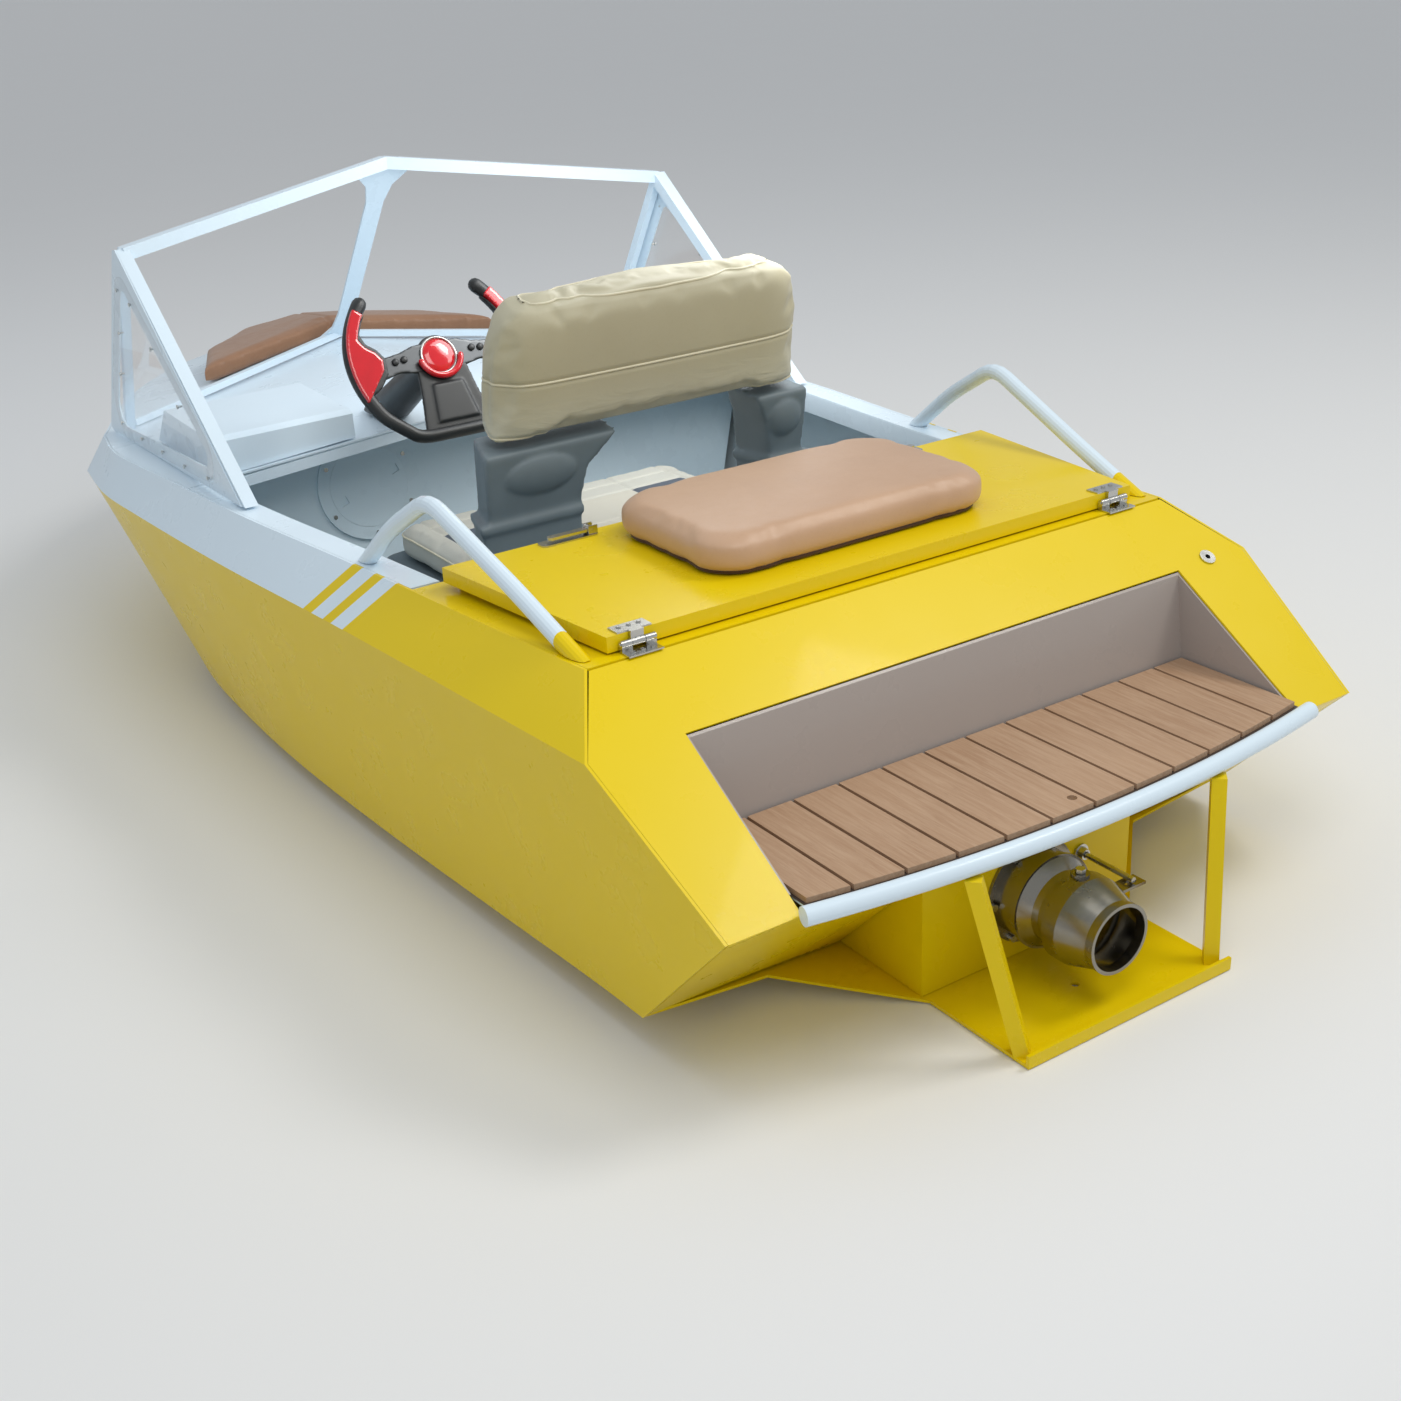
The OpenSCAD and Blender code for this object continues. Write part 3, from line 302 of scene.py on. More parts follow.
black = plastic("black_plastic", (0.016, 0.018, 0.019), 0.38)
red = Mat("red_gloss", (0.62, 0.002, 0.010), rough=0.12, coat=1.0)
red.mix(red.ramp(red.noise(30, detail=4), [(0.4, 0.0), (0.8, 0.3)]), (0.40, 0.001, 0.006))
red.bump(red.noise(700, detail=2), 0.02, 0.0003)
shell = plastic("shell_plastic", (0.150, 0.190, 0.212), 0.45, grain=1300)


def leather(name, color, dark, rough=0.42):
    m = Mat(name, color, rough=rough, sheen=0.15)
    m.mix(m.ramp(m.noise(7, detail=5), [(0.35, 0.0), (0.8, 0.35)]), dark)
    m.mix(m.ramp(m.noise(160, detail=3), [(0.55, 0.0), (0.9, 0.30)]), dark)
    m.roughness(m.noise(45, detail=5), rough - 0.08, rough + 0.12)
    m.bump(m.voronoi(520, "DISTANCE_TO_EDGE"), 0.22, 0.0004)
    m.bump(m.noise(18, detail=4), 0.10, 0.002)
    return m


tan = leather("tan_leather", (0.56, 0.355, 0.225), (0.42, 0.245, 0.145), 0.42)
# The bow pad is the same tan leather as the hatch cushion. This darker brown copy is painted shade for its
# back face, which is seen in shade.
bow_pad_shaded_tan = leather("bow_leather_painted_shade", (0.33, 0.17, 0.09), (0.20, 0.095, 0.05), 0.46)
cream = leather("cream_leather", (0.47, 0.435, 0.30), (0.38, 0.34, 0.225), 0.50)
folds = cream.noise(9, detail=3, stretch=(1, 3, 5), distortion=0.8)
low_band = cream.ramp(cream.axis(2), [(0.66, 1.0), (0.80, 0.0)])
cream.mix(cream.math("MULTIPLY", low_band, 0.75), (0.66, 0.65, 0.54))
cream.bump(cream.math("MULTIPLY", folds, low_band), 0.5, 0.010)
charcoal = leather("charcoal_leather", (0.065, 0.082, 0.110), (0.035, 0.045, 0.065), 0.44)


def seat_two_tone():
    """Off-white cover with a charcoal aft part and a cream insert in it."""
    m = leather("seat_two_tone", (0.56, 0.55, 0.48), (0.42, 0.40, 0.34), 0.46)
    aft = m.math("MULTIPLY", m.math("LESS_THAN", m.axis(1), SEAT_SEAM_Y),
                 m.math("LESS_THAN", m.math("ABSOLUTE", m.axis(0)), SEAT_DARK_HALF))
    m.mix(aft, (0.065, 0.082, 0.110))
    insert = m.math("MULTIPLY", aft, m.math("LESS_THAN", m.math("ABSOLUTE", m.axis(0)), SEAT_INSERT_HALF))
    m.mix(insert, (0.56, 0.53, 0.44))
    return m


seat_cloth = seat_two_tone()
piping_mat = leather("piping", (0.66, 0.62, 0.46), (0.50, 0.44, 0.28), 0.45)
# Nearly black brown for the welt at the hatch cushion's foot. It is partly the cushion's dark base and partly
# painted shade under the cushion's overhang.
underside_shade_mat = leather("pad_underside_painted_shade", (0.060, 0.022, 0.012), (0.03, 0.01, 0.006), 0.60)


def teak_wood():
    m = Mat("teak", (0.48, 0.315, 0.20), rough=0.62)
    grain = m.noise(16, detail=8, rough=0.65, stretch=(9, 0.55, 9), distortion=0.6)
    m.mix(m.ramp(grain, [(0.35, 0.0), (0.62, 0.65)]), (0.33, 0.180, 0.095))
    pores = m.noise(260, detail=4, stretch=(4, 0.18, 4))
    m.mix(m.ramp(pores, [(0.60, 0.0), (0.74, 0.55)]), (0.20, 0.105, 0.055))
    m.mix(m.ramp(m.noise(3.0, detail=2), [(0.3, 0.0), (0.7, 0.35)]), (0.56, 0.37, 0.235))
    m.roughness(grain, 0.50, 0.74)
    m.bump(grain, 0.25, 0.0008)
    m.bump(pores, 0.30, 0.0005)
    return m


teak = teak_wood()


def platform_mat():
    """White paint, with dark caulk on top where it shows between the planks."""
    m = paint("platform_paint", WHITE, WHITE_GRIME)
    m.mix(m.math("GREATER_THAN", m.axis(2), CAULK_Z), (0.060, 0.045, 0.038))
    return m


platform = platform_mat()


def floor_coating():
    m = Mat("floor_coating", (0.055, 0.065, 0.072), rough=0.72)
    m.mix(m.ramp(m.voronoi(420), [(0.2, 0.5), (0.6, 0.0)]), (0.12, 0.13, 0.14))
    m.roughness(m.noise(40), 0.6, 0.85)
    m.bump(m.voronoi(420), 0.5, 0.0010)
    return m


deck_floor = floor_coating()


def clear_pane():
    m = Mat("clear_pane", (0.93, 0.97, 0.99), rough=0.03, ior=1.45)
    m.p.inputs["Transmission Weight"].default_value = 1.0
    m.p.inputs["Alpha"].default_value = 0.22
    m.roughness(m.noise(20, detail=5), 0.02, 0.08)
    m.bump(m.noise(4, detail=2), 0.02, 0.001)
    return m


pane = clear_pane()

# ------------------------------------------------------------------ CAD nodes that stay

FINISH = {
    yellow: ["hull_bottom", "side_panel_port", "side_panel_starboard", "bow_panel_port",
             "bow_panel_starboard", "bow_nose_plate", "transom_plate", "jet_box", "jet_guard_plate",
             "stern_slope_panel", "stern_deck", "hatch_lid"],
    recess: ["recess_bulkhead"],
    white: ["platform_rail", "coamings", "foredeck", "dash_console",
            "windscreen_frame", "wing_panels"],
    rails: ["grab_rails"],
    band: ["sheer_band_port", "sheer_band_starboard"],
    platform: ["platform_plate"],
    interior: ["front_bulkhead", "engine_bulkhead", "inspection_ring", "inspection_lid", "seat_base"],
    deck_floor: ["cockpit_floor"],
    teak: ["teak_planks"],
    steel: ["panel_screws", "pump_bolts", "intake_grate", "hinge_fixed_leaves", "hinge_lid_leaves",
            "latch_bases", "latch_lever_port", "latch_lever_starboard", "push_rod", "drive_shaft",
            "stern_fittings"],
    jet_steel: ["pump_housing", "exit_cone", "steering_nozzle", "impeller"],
    alloy: ["engine_block"],
    exhaust: ["exhaust_manifold"],
    pane: ["wing_panes"],
    black: ["steering_column", "fuel_tank", "throttle_pedal", "wheel_rim", "steering_cable"],
    red: ["wheel_grips", "wheel_hub"],
    shell: ["seat_shell"],
    cream: ["seat_back_cushion"],
    charcoal: ["seat_bottom_cushion"],
    tan: ["hatch_cushion"],
    bow_pad_shaded_tan: ["bow_pad"],
}
for mat, names in FINISH.items():
    for n in names:
        set_material(nodes[n], mat.m)

# ------------------------------------------------------------------ shapes


def shape(name, verts, faces, body, mat, smooth=True):
    o = new_object(name, mesh_from(name, verts, faces, smooth), body)
    set_material(o, mat.m)
    return o


def smooth_line(pts, steps=8, straight=0):
    """A Catmull-Rom line through pts; the first few stretches may stay straight."""
    ends = [pts[0] * 2 - pts[1]] + list(pts) + [pts[-1] * 2 - pts[-2]]
    if straight:
        ends[straight] = pts[straight] * 2 - pts[straight + 1]
    out = []
    for i in range(len(pts) - 1):
        a, b, c, d = ends[i:i + 4]
        b, c = pts[i], pts[i + 1]
        for k in range(steps):
            t = k / steps
            if i < straight:
                out.append(b.lerp(c, t))
            else:
                out.append(0.5 * (2 * b + (c - a) * t + (2 * a - 5 * b + 4 * c - d) * t * t
                                  + (3 * b - a - 3 * c + d) * t ** 3))
    return out + [pts[-1].copy()]


SHARP_ANGLE = 0.5  # radians; a sharper edge stays crisp


def skin(name, rows, shifts, body, mat, inner=None):
    """A closed plate over a grid of points, with its other face moved by shifts[i] along line i."""
    m, n = len(rows), len(rows[0])
    verts = [p for row in rows for p in row] + [p + s for row, s in zip(rows, shifts) for p in row]
    q = m * n
    faces = []
    for i in range(m - 1):
        for j in range(n - 1):
            a, b, c, d = i * n + j, i * n + j + 1, (i + 1) * n + j + 1, (i + 1) * n + j
            faces += [(a, b, c, d), (q + d, q + c, q + b, q + a)]
    for j in range(n - 1):
        last = q - n + j
        faces += [(j + 1, j, q + j, q + j + 1), (last, last + 1, q + last + 1, q + last)]
    for i in range(m - 1):
        a, b = i * n, (i + 1) * n
        faces += [(a, b, q + b, q + a), (b + n - 1, a + n - 1, q + a + n - 1, q + b + n - 1)]
    o = shape(name, verts, faces, body, mat)
    if inner:
        o.data.materials.append(inner.m)
        for k in range(1, 2 * (m - 1) * (n - 1), 2):
            o.data.polygons[k].material_index = 1
    bm = bmesh.new()
    bm.from_mesh(o.data)
    bmesh.ops.recalc_face_normals(bm, faces=bm.faces)
    for e in bm.edges:
        if len(e.link_faces) == 2 and e.calc_face_angle(0) > SHARP_ANGLE:
            e.smooth = False
    bm.to_mesh(o.data)
    bm.free()
    return o


CAP_ANGLES = (1.5, 1.1, 0.6)  # radians up the rounded end of a bar, tip first


def tube(name, pts, r, body, mat, closed=False, n=12, up=None):
    """A round cord or bar along pts. r is a number or one per point."""
    rs = r if isinstance(r, list) else [r] * len(pts)
    if not closed:
        a, b = (pts[0] - pts[1]).normalized(), (pts[-1] - pts[-2]).normalized()
        head = [(pts[0] + a * rs[0] * math.sin(t), rs[0] * math.cos(t)) for t in CAP_ANGLES]
        tail = [(pts[-1] + b * rs[-1] * math.sin(t), rs[-1] * math.cos(t)) for t in reversed(CAP_ANGLES)]
        pts = [p for p, _ in head] + list(pts) + [p for p, _ in tail]
        rs = [q for _, q in head] + rs + [q for _, q in tail]
    count = len(pts)
    verts, faces = [], []
    side = None
    for i, p in enumerate(pts):
        before = pts[i - 1] if i or closed else p
        after = pts[(i + 1) % count] if i < count - 1 or closed else p
        t = (after - before).normalized()
        if up is not None:
            side = up.cross(t).normalized()
        elif side is None:
            side = t.orthogonal().normalized()
        side = (side - t * side.dot(t)).normalized()
        other = t.cross(side)
        for k in range(n):
            a = 2 * math.pi * k / n
            verts.append(p + side * (rs[i] * math.cos(a)) + other * (rs[i] * math.sin(a)))
    for i in range(count if closed else count - 1):
        for k in range(n):
            j, l = (i + 1) % count, (k + 1) % n
            faces.append((i * n + k, i * n + l, j * n + l, j * n + k))
    if not closed:
        faces += [tuple(range(n - 1, -1, -1)), tuple(range((count - 1) * n, count * n))]
    return shape(name, verts, faces, body, mat)


def lathe(name, profile, m, body, mat, n=56):
    """A turned piece: profile is (radius, height) in millimetres, about the z axis of frame m."""
    turns = [2 * math.pi * k / n for k in range(n)]
    verts = [m @ (Vector((r * math.cos(a), r * math.sin(a), z)) / 1000) for r, z in profile for a in turns]
    faces = [(i * n + k, i * n + (k + 1) % n, (i + 1) * n + (k + 1) % n, (i + 1) * n + k)
             for i in range(len(profile) - 1) for k in range(n)]
    faces += [tuple(range(n - 1, -1, -1)), tuple(range((len(profile) - 1) * n, len(profile) * n))]
    return shape(name, verts, faces, body, mat)


def applied(o):
    """Swap o's mesh for what its modifiers make of it."""
    deps = bpy.context.evaluated_depsgraph_get()
    made = bpy.data.meshes.new_from_object(o.evaluated_get(deps), depsgraph=deps)
    o.modifiers.clear()
    o.data = made
    for p in made.polygons:
        p.use_smooth = True
    return o


def moulded(o, voxel, rounds):
    """Remesh evenly and round every edge off."""
    r = o.modifiers.new("voxel", "REMESH")
    r.mode = "VOXEL"
    r.voxel_size = voxel
    s = o.modifiers.new("smooth", "SMOOTH")
    s.factor = 0.5
    s.iterations = rounds
    return applied(o)


def prisms(name, shapes, m, body, mat, voxel=0.002, rounds=10):
    """Plates with rounded edges: each shape is (outline, low, high) in millimetres in frame m."""
    verts, faces = [], []
    for outline, low, high in shapes:
        k, n = len(verts), len(outline)
        verts += [m @ (Vector((x, y, z)) / 1000) for z in (low, high) for x, y in outline]
        faces += [tuple(range(k + n - 1, k - 1, -1)), tuple(range(k + n, k + 2 * n))]
        faces += [(k + i, k + (i + 1) % n, k + n + (i + 1) % n, k + n + i) for i in range(n)]
    o = shape(name, verts, faces, body, mat)
    return moulded(o, voxel, rounds)


def copied(name, source, body, mat):
    """A new piece that starts from a CAD node's own shape, in the row frame."""
    me = nodes[source].data.copy()
    me.transform(nodes[source].matrix_world)
    me.name = name
    o = new_object(name, me, body)
    set_material(o, mat.m)
    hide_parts(source)
    return o


CLOTH_FRAMES = 20
FLAT_BAND = 0.004  # height above the floor that still counts as a cushion's underside


def stuffed(name, source, body, mat, voxel=0.006, shrink=0.012, pressure=4.0, cap=0.010, rounds=14,
            form=None, floor=None, calm=4):
    """A cushion: the CAD solid drawn in a little, remeshed, swollen by cloth pressure and capped."""
    o = copied(name, source, body, mat)
    lo = [min(v.co[i] for v in o.data.vertices) for i in range(3)]
    hi = [max(v.co[i] for v in o.data.vertices) for i in range(3)]
    mid = Vector([(a + b) / 2 for a, b in zip(lo, hi)])
    scale = [max(1 - 2 * shrink / (b - a), 0.5) for a, b in zip(lo, hi)]
    for v in o.data.vertices:
        v.co = mid + Vector([(v.co[i] - mid[i]) * scale[i] for i in range(3)])
    moulded(o, voxel, rounds)
    if form:
        for v in o.data.vertices:
            v.co = form(v.co)
    start = [v.co.copy() for v in o.data.vertices]
    cloth = o.modifiers.new("cloth", "CLOTH")
    cloth.settings.use_pressure = True
    cloth.settings.uniform_pressure_force = pressure
    cloth.settings.effector_weights.gravity = 0
    cloth.point_cache.frame_start = 1
    cloth.point_cache.frame_end = CLOTH_FRAMES
    for f in range(1, CLOTH_FRAMES + 1):
        scene.frame_set(f)
    deps = bpy.context.evaluated_depsgraph_get()
    ends = [v.co.copy() for v in o.evaluated_get(deps).data.vertices]
    o.modifiers.clear()
    scene.frame_set(1)
    for v, a, b in zip(o.data.vertices, start, ends):
        d = b - a
        v.co = a + d * min(1.0, cap / max(d.length, 1e-9))
        if floor is not None and v.co.z < floor + FLAT_BAND:
            v.co.z = floor
    ease = o.modifiers.new("ease", "SMOOTH")
    ease.factor = 0.5
    ease.iterations = calm
    sub = o.modifiers.new("sub", "SUBSURF")
    sub.levels = 1
    applied(o)
    set_material(o, mat.m)
    return o


def pinched(o, height, depth=0.0022, reach=0.010):
    """Draw o in along the line where height(co) is zero."""
    spots = [(v.index, v.co.copy(), v.normal.copy(), abs(height(v.co)) / reach) for v in o.data.vertices]
    for i, co, normal, d in spots:
        if d < 1:
            o.data.vertices[i].co = co - normal * depth * (1 - d * d) ** 2


def girdle(name, o, m, h, half, mid_y, body, mat, r=0.0026):
    """Piping sewn around o where the plane at height h of frame m cuts it."""
    tree = BVHTree.FromPolygons([v.co for v in o.data.vertices], [tuple(p.vertices) for p in o.data.polygons])
    span = half - 0.05
    starts = [(span * (1 - k / 30), -0.3, 0) for k in range(61)]
    starts += [(-span, 0, math.pi * (1.5 - k / 16)) for k in range(1, 16)]
    starts += [(-span * (1 - k / 30), 0.3, 0) for k in range(61)]
    starts += [(span, 0, math.pi * (0.5 - k / 16)) for k in range(1, 16)]
    pts = []
    for x, y, a in starts:
        way = Vector((0, y, 0)) if y else Vector((math.cos(a), math.sin(a), 0)) * 0.3
        core = m @ Vector((x, mid_y, h))
        far = m @ (Vector((x, mid_y, h)) + way)
        hit = tree.ray_cast(far, (core - far).normalized())[0]
        if hit is not None:
            pts.append(hit)
    return tube(name, pts, r, body, mat, closed=True, n=8)


# ------------------------------------------------------------------ hull skins

SIDES = (("starboard", 1), ("port", -1))


def edges_of(name, split):
    """The upper and lower outer edges of a side plate, from the stern forward."""
    found = ({}, {})
    for v in nodes[name].data.vertices:
        co = nodes[name].matrix_world @ v.co
        k = found[0 if co.z > split else 1]
        key = round(co.y, 3)
        if key not in k or abs(co.x) > abs(k[key].x):
            k[key] = co
    return [[d[k] for k in sorted(d)] for d in found]


def between(a, b, count):
    return [[p.lerp(q, k / count) for p, q in zip(a, b)] for k in range(count + 1)]


def clipped(line, y0, y1):
    """The stretch of a line from y0 to y1."""
    out = []
    for p, q in zip(line, line[1:]):
        for y in (y0, y1):
            if p.y < y <= q.y and not (out and abs(out[-1].y - y) < 1e-5):
                out.append(p.lerp(q, (y - p.y) / (q.y - p.y)))
        if y0 <= q.y <= y1 and not (out and abs(out[-1].y - q.y) < 1e-5):
            out.append(q.copy())
    return out


THICK = Vector((0.005, 0, 0))
DECK_THICK = Vector((0, 0, -0.004))
DECK_INSET = Vector((0.0056, 0, 0))  # from the sheer line to the deck's edge, clear of the side plate
COAMING_Y = (-0.6694, 0.2380)
DECK_Y = (0.2400, 1.6520)
deck_lines = {}


def folded(line, y):
    """The line made smooth on each side of the fold at y."""
    k = [i for i, p in enumerate(line) if abs(p.y - y) < 0.003][0]
    return smooth_line(line[:k + 1], 8) + smooth_line(line[k:], 8)[1:]


for side, s in SIDES:
    top, low = edges_of("side_panel_" + side, 0.30)
    o = skin("side_skin_" + side, between(smooth_line(top, 8, 1), smooth_line(low, 8, 0), 3),
             [-s * THICK] * 4, "hull", yellow, interior)
    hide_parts("side_panel_" + side)
    btop, blow = edges_of("bow_panel_" + side, 0.43)
    o = skin("bow_skin_" + side, between(smooth_line(btop, 8), smooth_line(blow, 8), 3),
             [-s * THICK] * 4, "hull", yellow, interior)
    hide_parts("bow_panel_" + side)
    high, under = edges_of("sheer_band_" + side, 0.50)
    upper, lower = folded(high, 0.84), folded(under, 0.88)
    deck_lines[s] = upper
    o = skin("sheer_skin_" + side, between(upper, lower, 2), [-s * THICK] * 3,
             "hull", band, interior)
    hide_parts("sheer_band_" + side)
    edge = clipped(upper, *COAMING_Y)
    rows = [[p + Vector((-s * w, 0, z)) for p in edge]
            for w, z in ((0.0620, -0.045), (0.0620, -0.004), (0.0600, 0))]
    rows.append([p - s * DECK_INSET for p in edge])
    outward = Vector((s * 0.004, 0, 0))
    o = skin("coaming_skin_" + side, rows, [outward, outward, DECK_THICK, DECK_THICK],
             "hull", white)
    if s < 0:
        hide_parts("coamings")

deck = nodes["foredeck"]
tops = {}
for p in (deck.matrix_world @ v.co for v in deck.data.vertices):
    if abs(p.x) < 0.0005 and p.y > 0.2385:
        y, z = round(p.y, 4), round(p.z, 4)
        tops[y] = max(z, tops.get(y, 0))
tops = sorted(tops.items())


def ridge_at(y):
    """Height of the foredeck's ridge at y."""
    for (ya, za), (yb, zb) in zip(tops, tops[1:]):
        if y <= yb:
            return za + (zb - za) * max(0.0, (y - ya) / (yb - ya))
    return tops[-1][1]


edge = {s: [p - s * DECK_INSET for p in clipped(deck_lines[s], *DECK_Y)] for s in (1, -1)}
middle = [Vector((0, p.y, ridge_at(p.y))) for p in edge[1]]
rows = between(edge[-1], middle, 4)[:-1] + between(middle, edge[1], 4)
o = skin("foredeck_skin", rows, [DECK_THICK] * len(rows), "hull", white)
lip = [(-0.716, 0.511), (0, 0.566), (0.716, 0.511), (0.716, 0.535), (0, 0.590), (-0.716, 0.535)]
shape("foredeck_lip", [(x, y, z) for y in (0.2402, 0.2440) for x, z in lip],
      [(0, 1, 4, 5), (1, 2, 3, 4), (11, 10, 7, 6), (10, 9, 8, 7), (1, 0, 6, 7), (2, 1, 7, 8),
       (4, 3, 9, 10), (5, 4, 10, 11), (0, 5, 11, 6), (3, 2, 8, 9)], "hull", white, False)
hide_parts("foredeck")

# ------------------------------------------------------------------ cushions and seat

# Frame of the seat back: its foot, leaning aft by 10 degrees
BACK_FRAME = Matrix.Translation((0, -0.432, 0.561)) @ Matrix.Rotation(math.radians(10), 4, "X")
TO_BACK = BACK_FRAME.inverted()
BACK_HALF_W, BACK_D = 0.377, 0.112


def back_form(co):
    """Bow the back's outer face aft, and round its ends forward."""
    q = TO_BACK @ co
    x = abs(q.x) / BACK_HALF_W
    aft = max(0.0, 1 - q.y / 0.06)
    q.y += aft * (0.030 * max(0.0, x - 0.62) ** 2 / 0.144 - 0.006 * (1 - x * x))
    high = max(0.0, (q.z - 0.30) / 0.12)
    q.x *= (1 - 0.04 * high * high) * (1 - 0.075 * q.y / BACK_D)
    q.z += 0.004 * high * (1 - x * x)
    return BACK_FRAME @ q


seat_back = stuffed("seat_back_cover", "seat_back_cushion", "hull", cream, voxel=0.006,
                    shrink=0.011, cap=0.011, rounds=26, form=back_form)
for h in (0.252, 0.146, 0.392):
    pinched(seat_back, lambda co, h=h: (TO_BACK @ co).z - h)
    girdle("seat_piping_%d" % round(h * 1000), seat_back, BACK_FRAME, h, BACK_HALF_W, 0.056,
           "hull", piping_mat)


def hatch_form(co):
    """Crown the top of the hatch cushion."""
    return Vector((co.x, co.y, co.z + max(0.0, (co.z - 0.63) / 0.03) * 0.010
                   * (1 - (co.x / 0.33) ** 2) * (1 - ((co.y + 0.924) / 0.2) ** 2)))


hatch_pad = stuffed("hatch_pad", "hatch_cushion", "lid", tan, voxel=0.005, shrink=0.010,
                    cap=0.012, rounds=24, floor=0.6016, calm=14, form=hatch_form)
seat_pad = stuffed("seat_pad", "seat_bottom_cushion", "hull", seat_cloth, voxel=0.006,
                   shrink=0.011, cap=0.011, rounds=20)
for x in (-SEAT_INSERT_HALF, SEAT_INSERT_HALF, -SEAT_DARK_HALF, SEAT_DARK_HALF):
    pinched(seat_pad, lambda co, x=x: co.x - x, 0.003, 0.008)
for y in (-0.22, SEAT_SEAM_Y, 0.0):
    pinched(seat_pad, lambda co, y=y: (co.y - y) if abs(co.x) < SEAT_DARK_HALF else 1.0, 0.003, 0.008)
# Bow pad cover in the darker tan: painted shade
bow = stuffed("bow_pad_cover", "bow_pad", "hull", bow_pad_shaded_tan, voxel=0.006, shrink=0.006,
              cap=0.007, rounds=12)
pinched(bow, lambda co: co.x, 0.004, 0.012)


def rim_cord(name, o, z, mat, body, r):
    """A welt around the foot of a flat cushion, on its outermost points."""
    low, high = o.bound_box[0], o.bound_box[6]
    mid = Vector(((low[0] + high[0]) / 2, (low[1] + high[1]) / 2, z))
    tree = BVHTree.FromPolygons([v.co for v in o.data.vertices], [tuple(p.vertices) for p in o.data.polygons])
    pts = []
    for k in range(180):
        a = 2 * math.pi * k / 180
        far = mid + Vector((math.cos(a), math.sin(a), 0))
        hit = tree.ray_cast(far, (mid - far).normalized())[0]
        if hit is not None:
            pts.append(hit)
    return tube(name, pts, r, body, mat, closed=True, n=8)


# The hatch cushion's welt is nearly black: partly a real dark welt, partly painted shade under the overhang
rim_cord("hatch_pad_welt_and_shade", hatch_pad, 0.6075, underside_shade_mat, "lid", 0.0042)
rim_cord("seat_pad_welt", seat_pad, 0.400, piping_mat, "hull", 0.0026)

# The back's two supports each have a domed boss, and the whole back narrows forward like its cushion.
seat_moulding = moulded(copied("seat_moulding", "seat_shell", "hull", shell), 0.005, 9)
for v in seat_moulding.data.vertices:
    for x0, w in ((-0.255, 0.078), (0.318, 0.040)):
        d = ((v.co.x - x0) / w) ** 2 + ((v.co.z - 0.628) / 0.040) ** 2
        if d < 1 and v.co.y < -0.415:
            v.co.y -= 0.014 * (1 - d) ** 0.7
    if v.co.z > 0.352 and v.co.y < -0.31:
        v.co.x *= 1 - 0.085 * min(1.0, max(0.0, (v.co.y + 0.434) / 0.112))
set_material(seat_moulding, shell.m)

# ------------------------------------------------------------------ steering wheel

# Frame of the steering wheel: its hub on the raked column, with z toward the helmsman
WHEEL = Matrix(((1, 0, 0, -0.212), (0, 0.5, -0.8660254, 0.056), (0, 0.8660254, 0.5, 0.764), (0, 0, 0, 1)))
R = 190.0


def wheel_point(x, y, z=0.0):
    """A point given in millimetres in the wheel's frame."""
    return WHEEL @ (Vector((x, y, z)) / 1000)


def ring_points(r, angles):
    """Points on a circle in the wheel's frame, in millimetres."""
    return [(r * math.cos(math.radians(a)), r * math.sin(math.radians(a))) for a in angles]


right = ring_points(R, range(45, -37, -9))
right += [(0.62 * R, -0.76 * R), (0.53 * R, -0.83 * R), (0.40 * R, -0.86 * R), (0.2 * R, -0.865 * R)]
path = smooth_line([wheel_point(x, y) for x, y in right]
                   + [wheel_point(-x, y) for x, y in reversed(right)], 3)
radii = []
for p in path:
    q = WHEEL.inverted() @ p
    a = math.degrees(math.atan2(q.y, abs(q.x)))
    thumb, tip = math.exp(-((a - 2) / 26) ** 2), math.exp(-((a - 44) / 5) ** 2)
    radii.append(0.0138 + 0.0022 * thumb + 0.0016 * tip)
rim = tube("wheel_rim_cover", path, radii, "wheel", black, n=20,
           up=WHEEL.to_3x3() @ Vector((0, 0, 1)))
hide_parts("wheel_rim")


def both(outline):
    """An outline on the starboard side of the wheel, and its mirror image."""
    return [outline, [(-x, y) for x, y in reversed(outline)]]


grip = ring_points(201, range(-22, 39, 6)) + ring_points(177, (38, 32, 25, 19))
grip += [(158, 40), (140, 26), (128, 8), (132, -14), (150, -34), (166, -52)]
grips = prisms("wheel_grip_covers", [(g, 3, 18) for g in both(grip)], WHEEL, "wheel", red,
               0.0022, 14)
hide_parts("wheel_grips")
cuff = ring_points(172, (42, 37, 31, 24))
cuff += [(150, 48), (132, 34), (118, 12), (122, -22), (146, -48), (170, -62), (186, -40), (190, 60)]
prisms("wheel_cuffs", [(c, -9, 9) for c in both(cuff)], WHEEL, "wheel", black,
       0.0025, 12)
arm = [(150, 20), (118, 16), (86, 20), (52, 30), (0, 34), (0, -30), (52, -30), (92, -22), (150, -34)]
prisms("wheel_spokes", [(a, -7, 1) for a in both(arm)], WHEEL, "wheel", dark_silver, 0.0025, 8)
leg = [(-56, -24), (56, -24), (64, -80), (80, -158), (-80, -158), (-64, -80)]
panel = [(-34, -60), (34, -60), (46, -140), (-46, -140)]
prisms("wheel_leg", [(leg, -8, 2), (panel, 0, 6)], WHEEL, "wheel", black, 0.0025, 8)
hub = lathe("hub_cup", [(20, -37), (36, -37), (37, -24), (44, -16), (46, -6), (45, -2), (41, -1),
                        (40, -6), (5, -7)], WHEEL, "wheel", black)
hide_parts("wheel_hub")
lathe("hub_disc", [(36, -4), (36, 1.5), (33, 4), (20, 5.6), (0.5, 6.2)], WHEEL, "wheel", red)
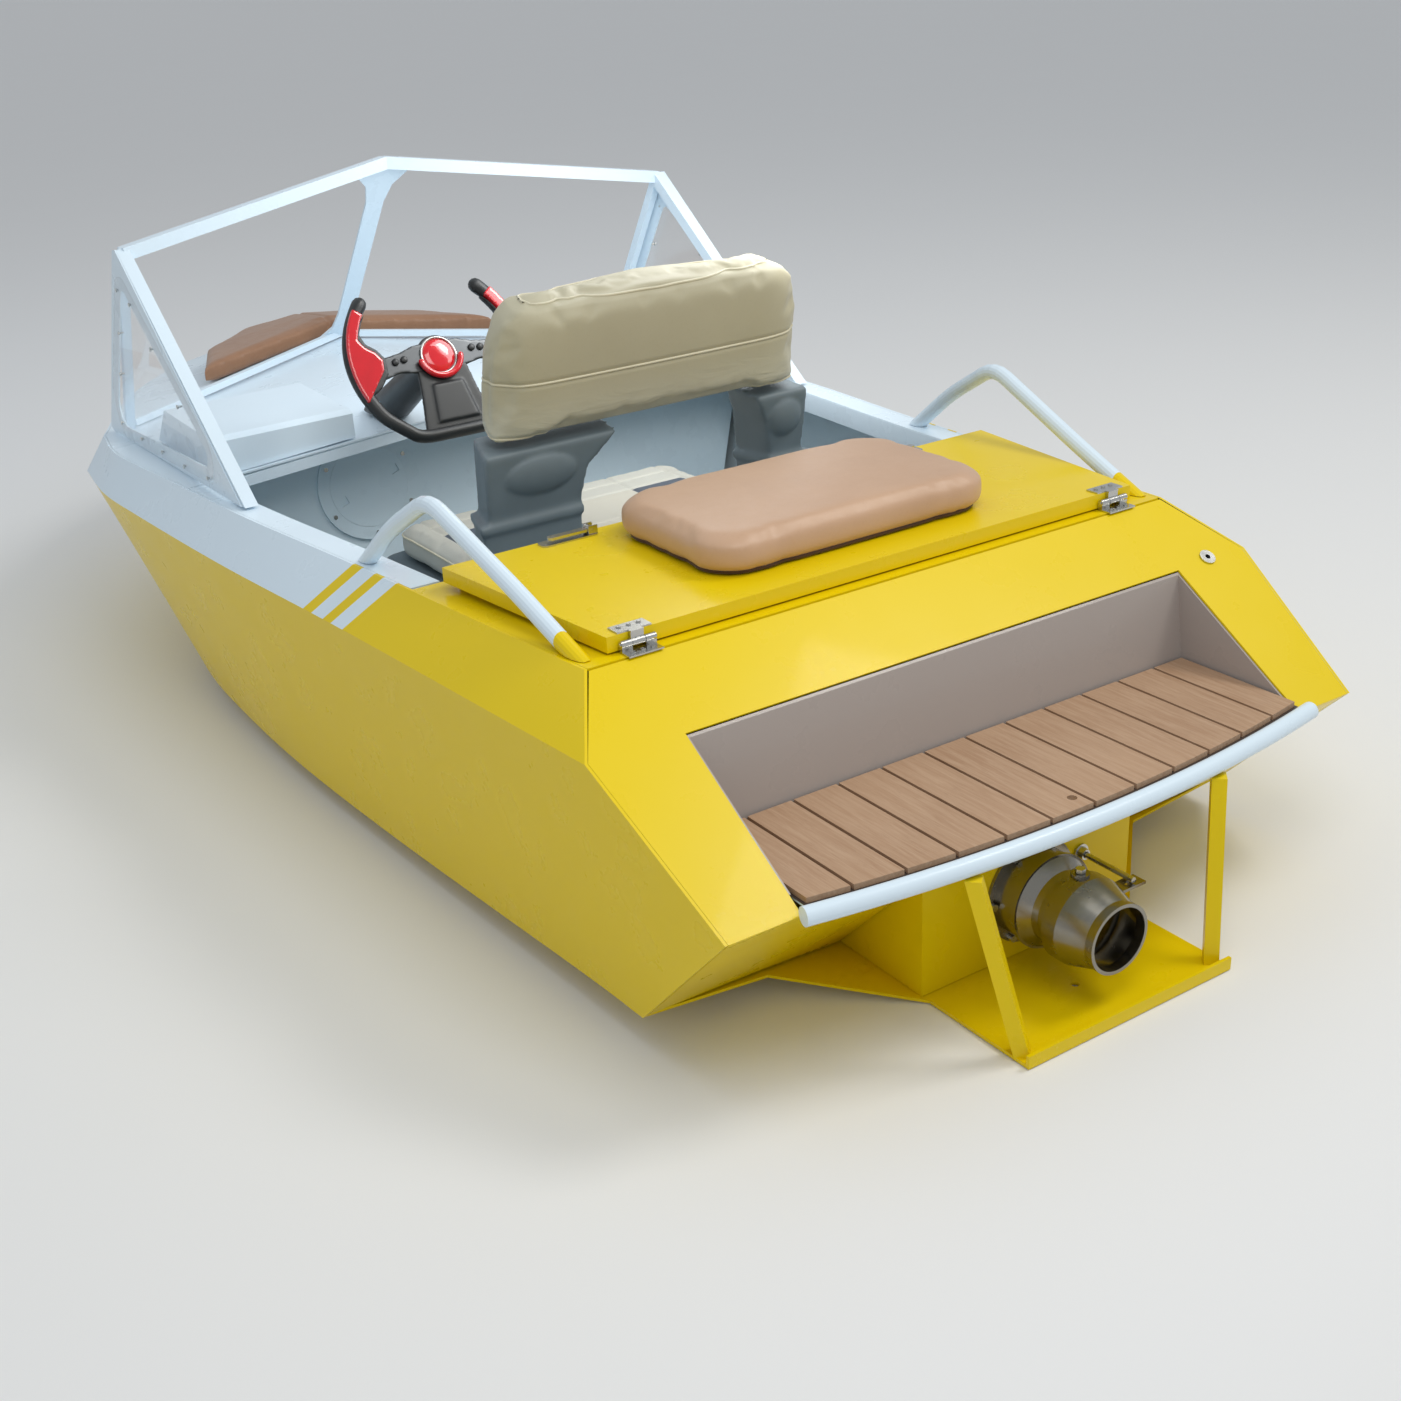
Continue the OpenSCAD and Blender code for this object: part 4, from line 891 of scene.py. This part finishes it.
lathe("hub_ring", [(36, -1), (36.4, 4), (38, 5.5), (40.4, 5), (41.2, 2.5), (41, -1)],
      WHEEL, "wheel", steel)
HORSESHOE_R = 46
arc = [wheel_point(x, y, 9) for x, y in ring_points(HORSESHOE_R, range(192, 349, 6))]
tube("hub_horseshoe", arc, 0.0066, "wheel", red, n=14)
for k, (x, y) in enumerate(ring_points(HORSESHOE_R, (205, 335))):
    tube("horseshoe_post_%d" % k, [wheel_point(x, y, -4), wheel_point(x, y, 9)], 0.0035,
         "wheel", black)
for k, (x, y) in enumerate(((-78, 4), (-98, 2), (78, 4), (98, 2))):
    m = WHEEL @ Matrix.Translation((x / 1000, y / 1000, 0.001))
    lathe("wheel_button_%d" % k, [(7.5, -1), (7.5, 3.2), (6.6, 4.4), (0.5, 4.8)], m,
          "wheel", black, 24)

# ------------------------------------------------------------------ floor and light

floor_mat = Mat("pale_floor", (0.84, 0.84, 0.84), rough=0.9)
floor_mat.mix(floor_mat.ramp(floor_mat.noise(1.2, detail=3), [(0.3, 0.0), (0.8, 0.15)]),
              (0.81, 0.81, 0.81))
FLOOR_HALF, FLOOR_Z = 60, -0.002
fm = mesh_from("pale_floor", [(FLOOR_HALF * x, FLOOR_HALF * y, FLOOR_Z)
                              for x, y in ((-1, -1), (1, -1), (1, 1), (-1, 1))], [(0, 1, 2, 3)])
pale_floor = bpy.data.objects.new("pale_floor", fm)
scene.collection.objects.link(pale_floor)
set_material(pale_floor, floor_mat.m)

world = bpy.data.worlds.new("studio")
scene.world = world
world.use_nodes = True
background = world.node_tree.nodes["Background"]
background.inputs["Color"].default_value = (0.92, 0.96, 1.0, 1)
background.inputs["Strength"].default_value = 0.52


def area_light(name, where, target, size, power, color):
    d = bpy.data.lights.new(name, "AREA")
    d.shape = "RECTANGLE"
    d.size, d.size_y = size
    d.energy = power
    d.color = color
    o = bpy.data.objects.new(name, d)
    scene.collection.objects.link(o)
    o.location = where
    o.visible_camera = False
    o.rotation_euler = (Vector(target) - Vector(where)).to_track_quat("-Z", "Y").to_euler()


area_light("key", (3.2, -2.6, 5.2), (0, 0, 0.4), (1.8, 1.8), 112, (1.0, 0.97, 0.90))
area_light("sky", (-1.0, 2.6, 5.0), (0, 0.4, 0.4), (5.0, 5.0), 32, (0.82, 0.92, 1.0))
area_light("fill", (-4.6, -3.4, 2.6), (0, 0, 0.3), (3.5, 2.5), 5, (1.0, 0.98, 0.94))
area_light("cockpit_fill", (-0.5, -2.3, 2.7), (-0.35, 0.3, 0.4), (1.4, 1.4), 20, (1.0, 0.99, 0.97))
area_light("cockpit_lamp", (0.35, -0.1, 1.2), (-0.28, 0.45, 0.35), (0.7, 0.7), 6, (0.96, 0.98, 1.0))
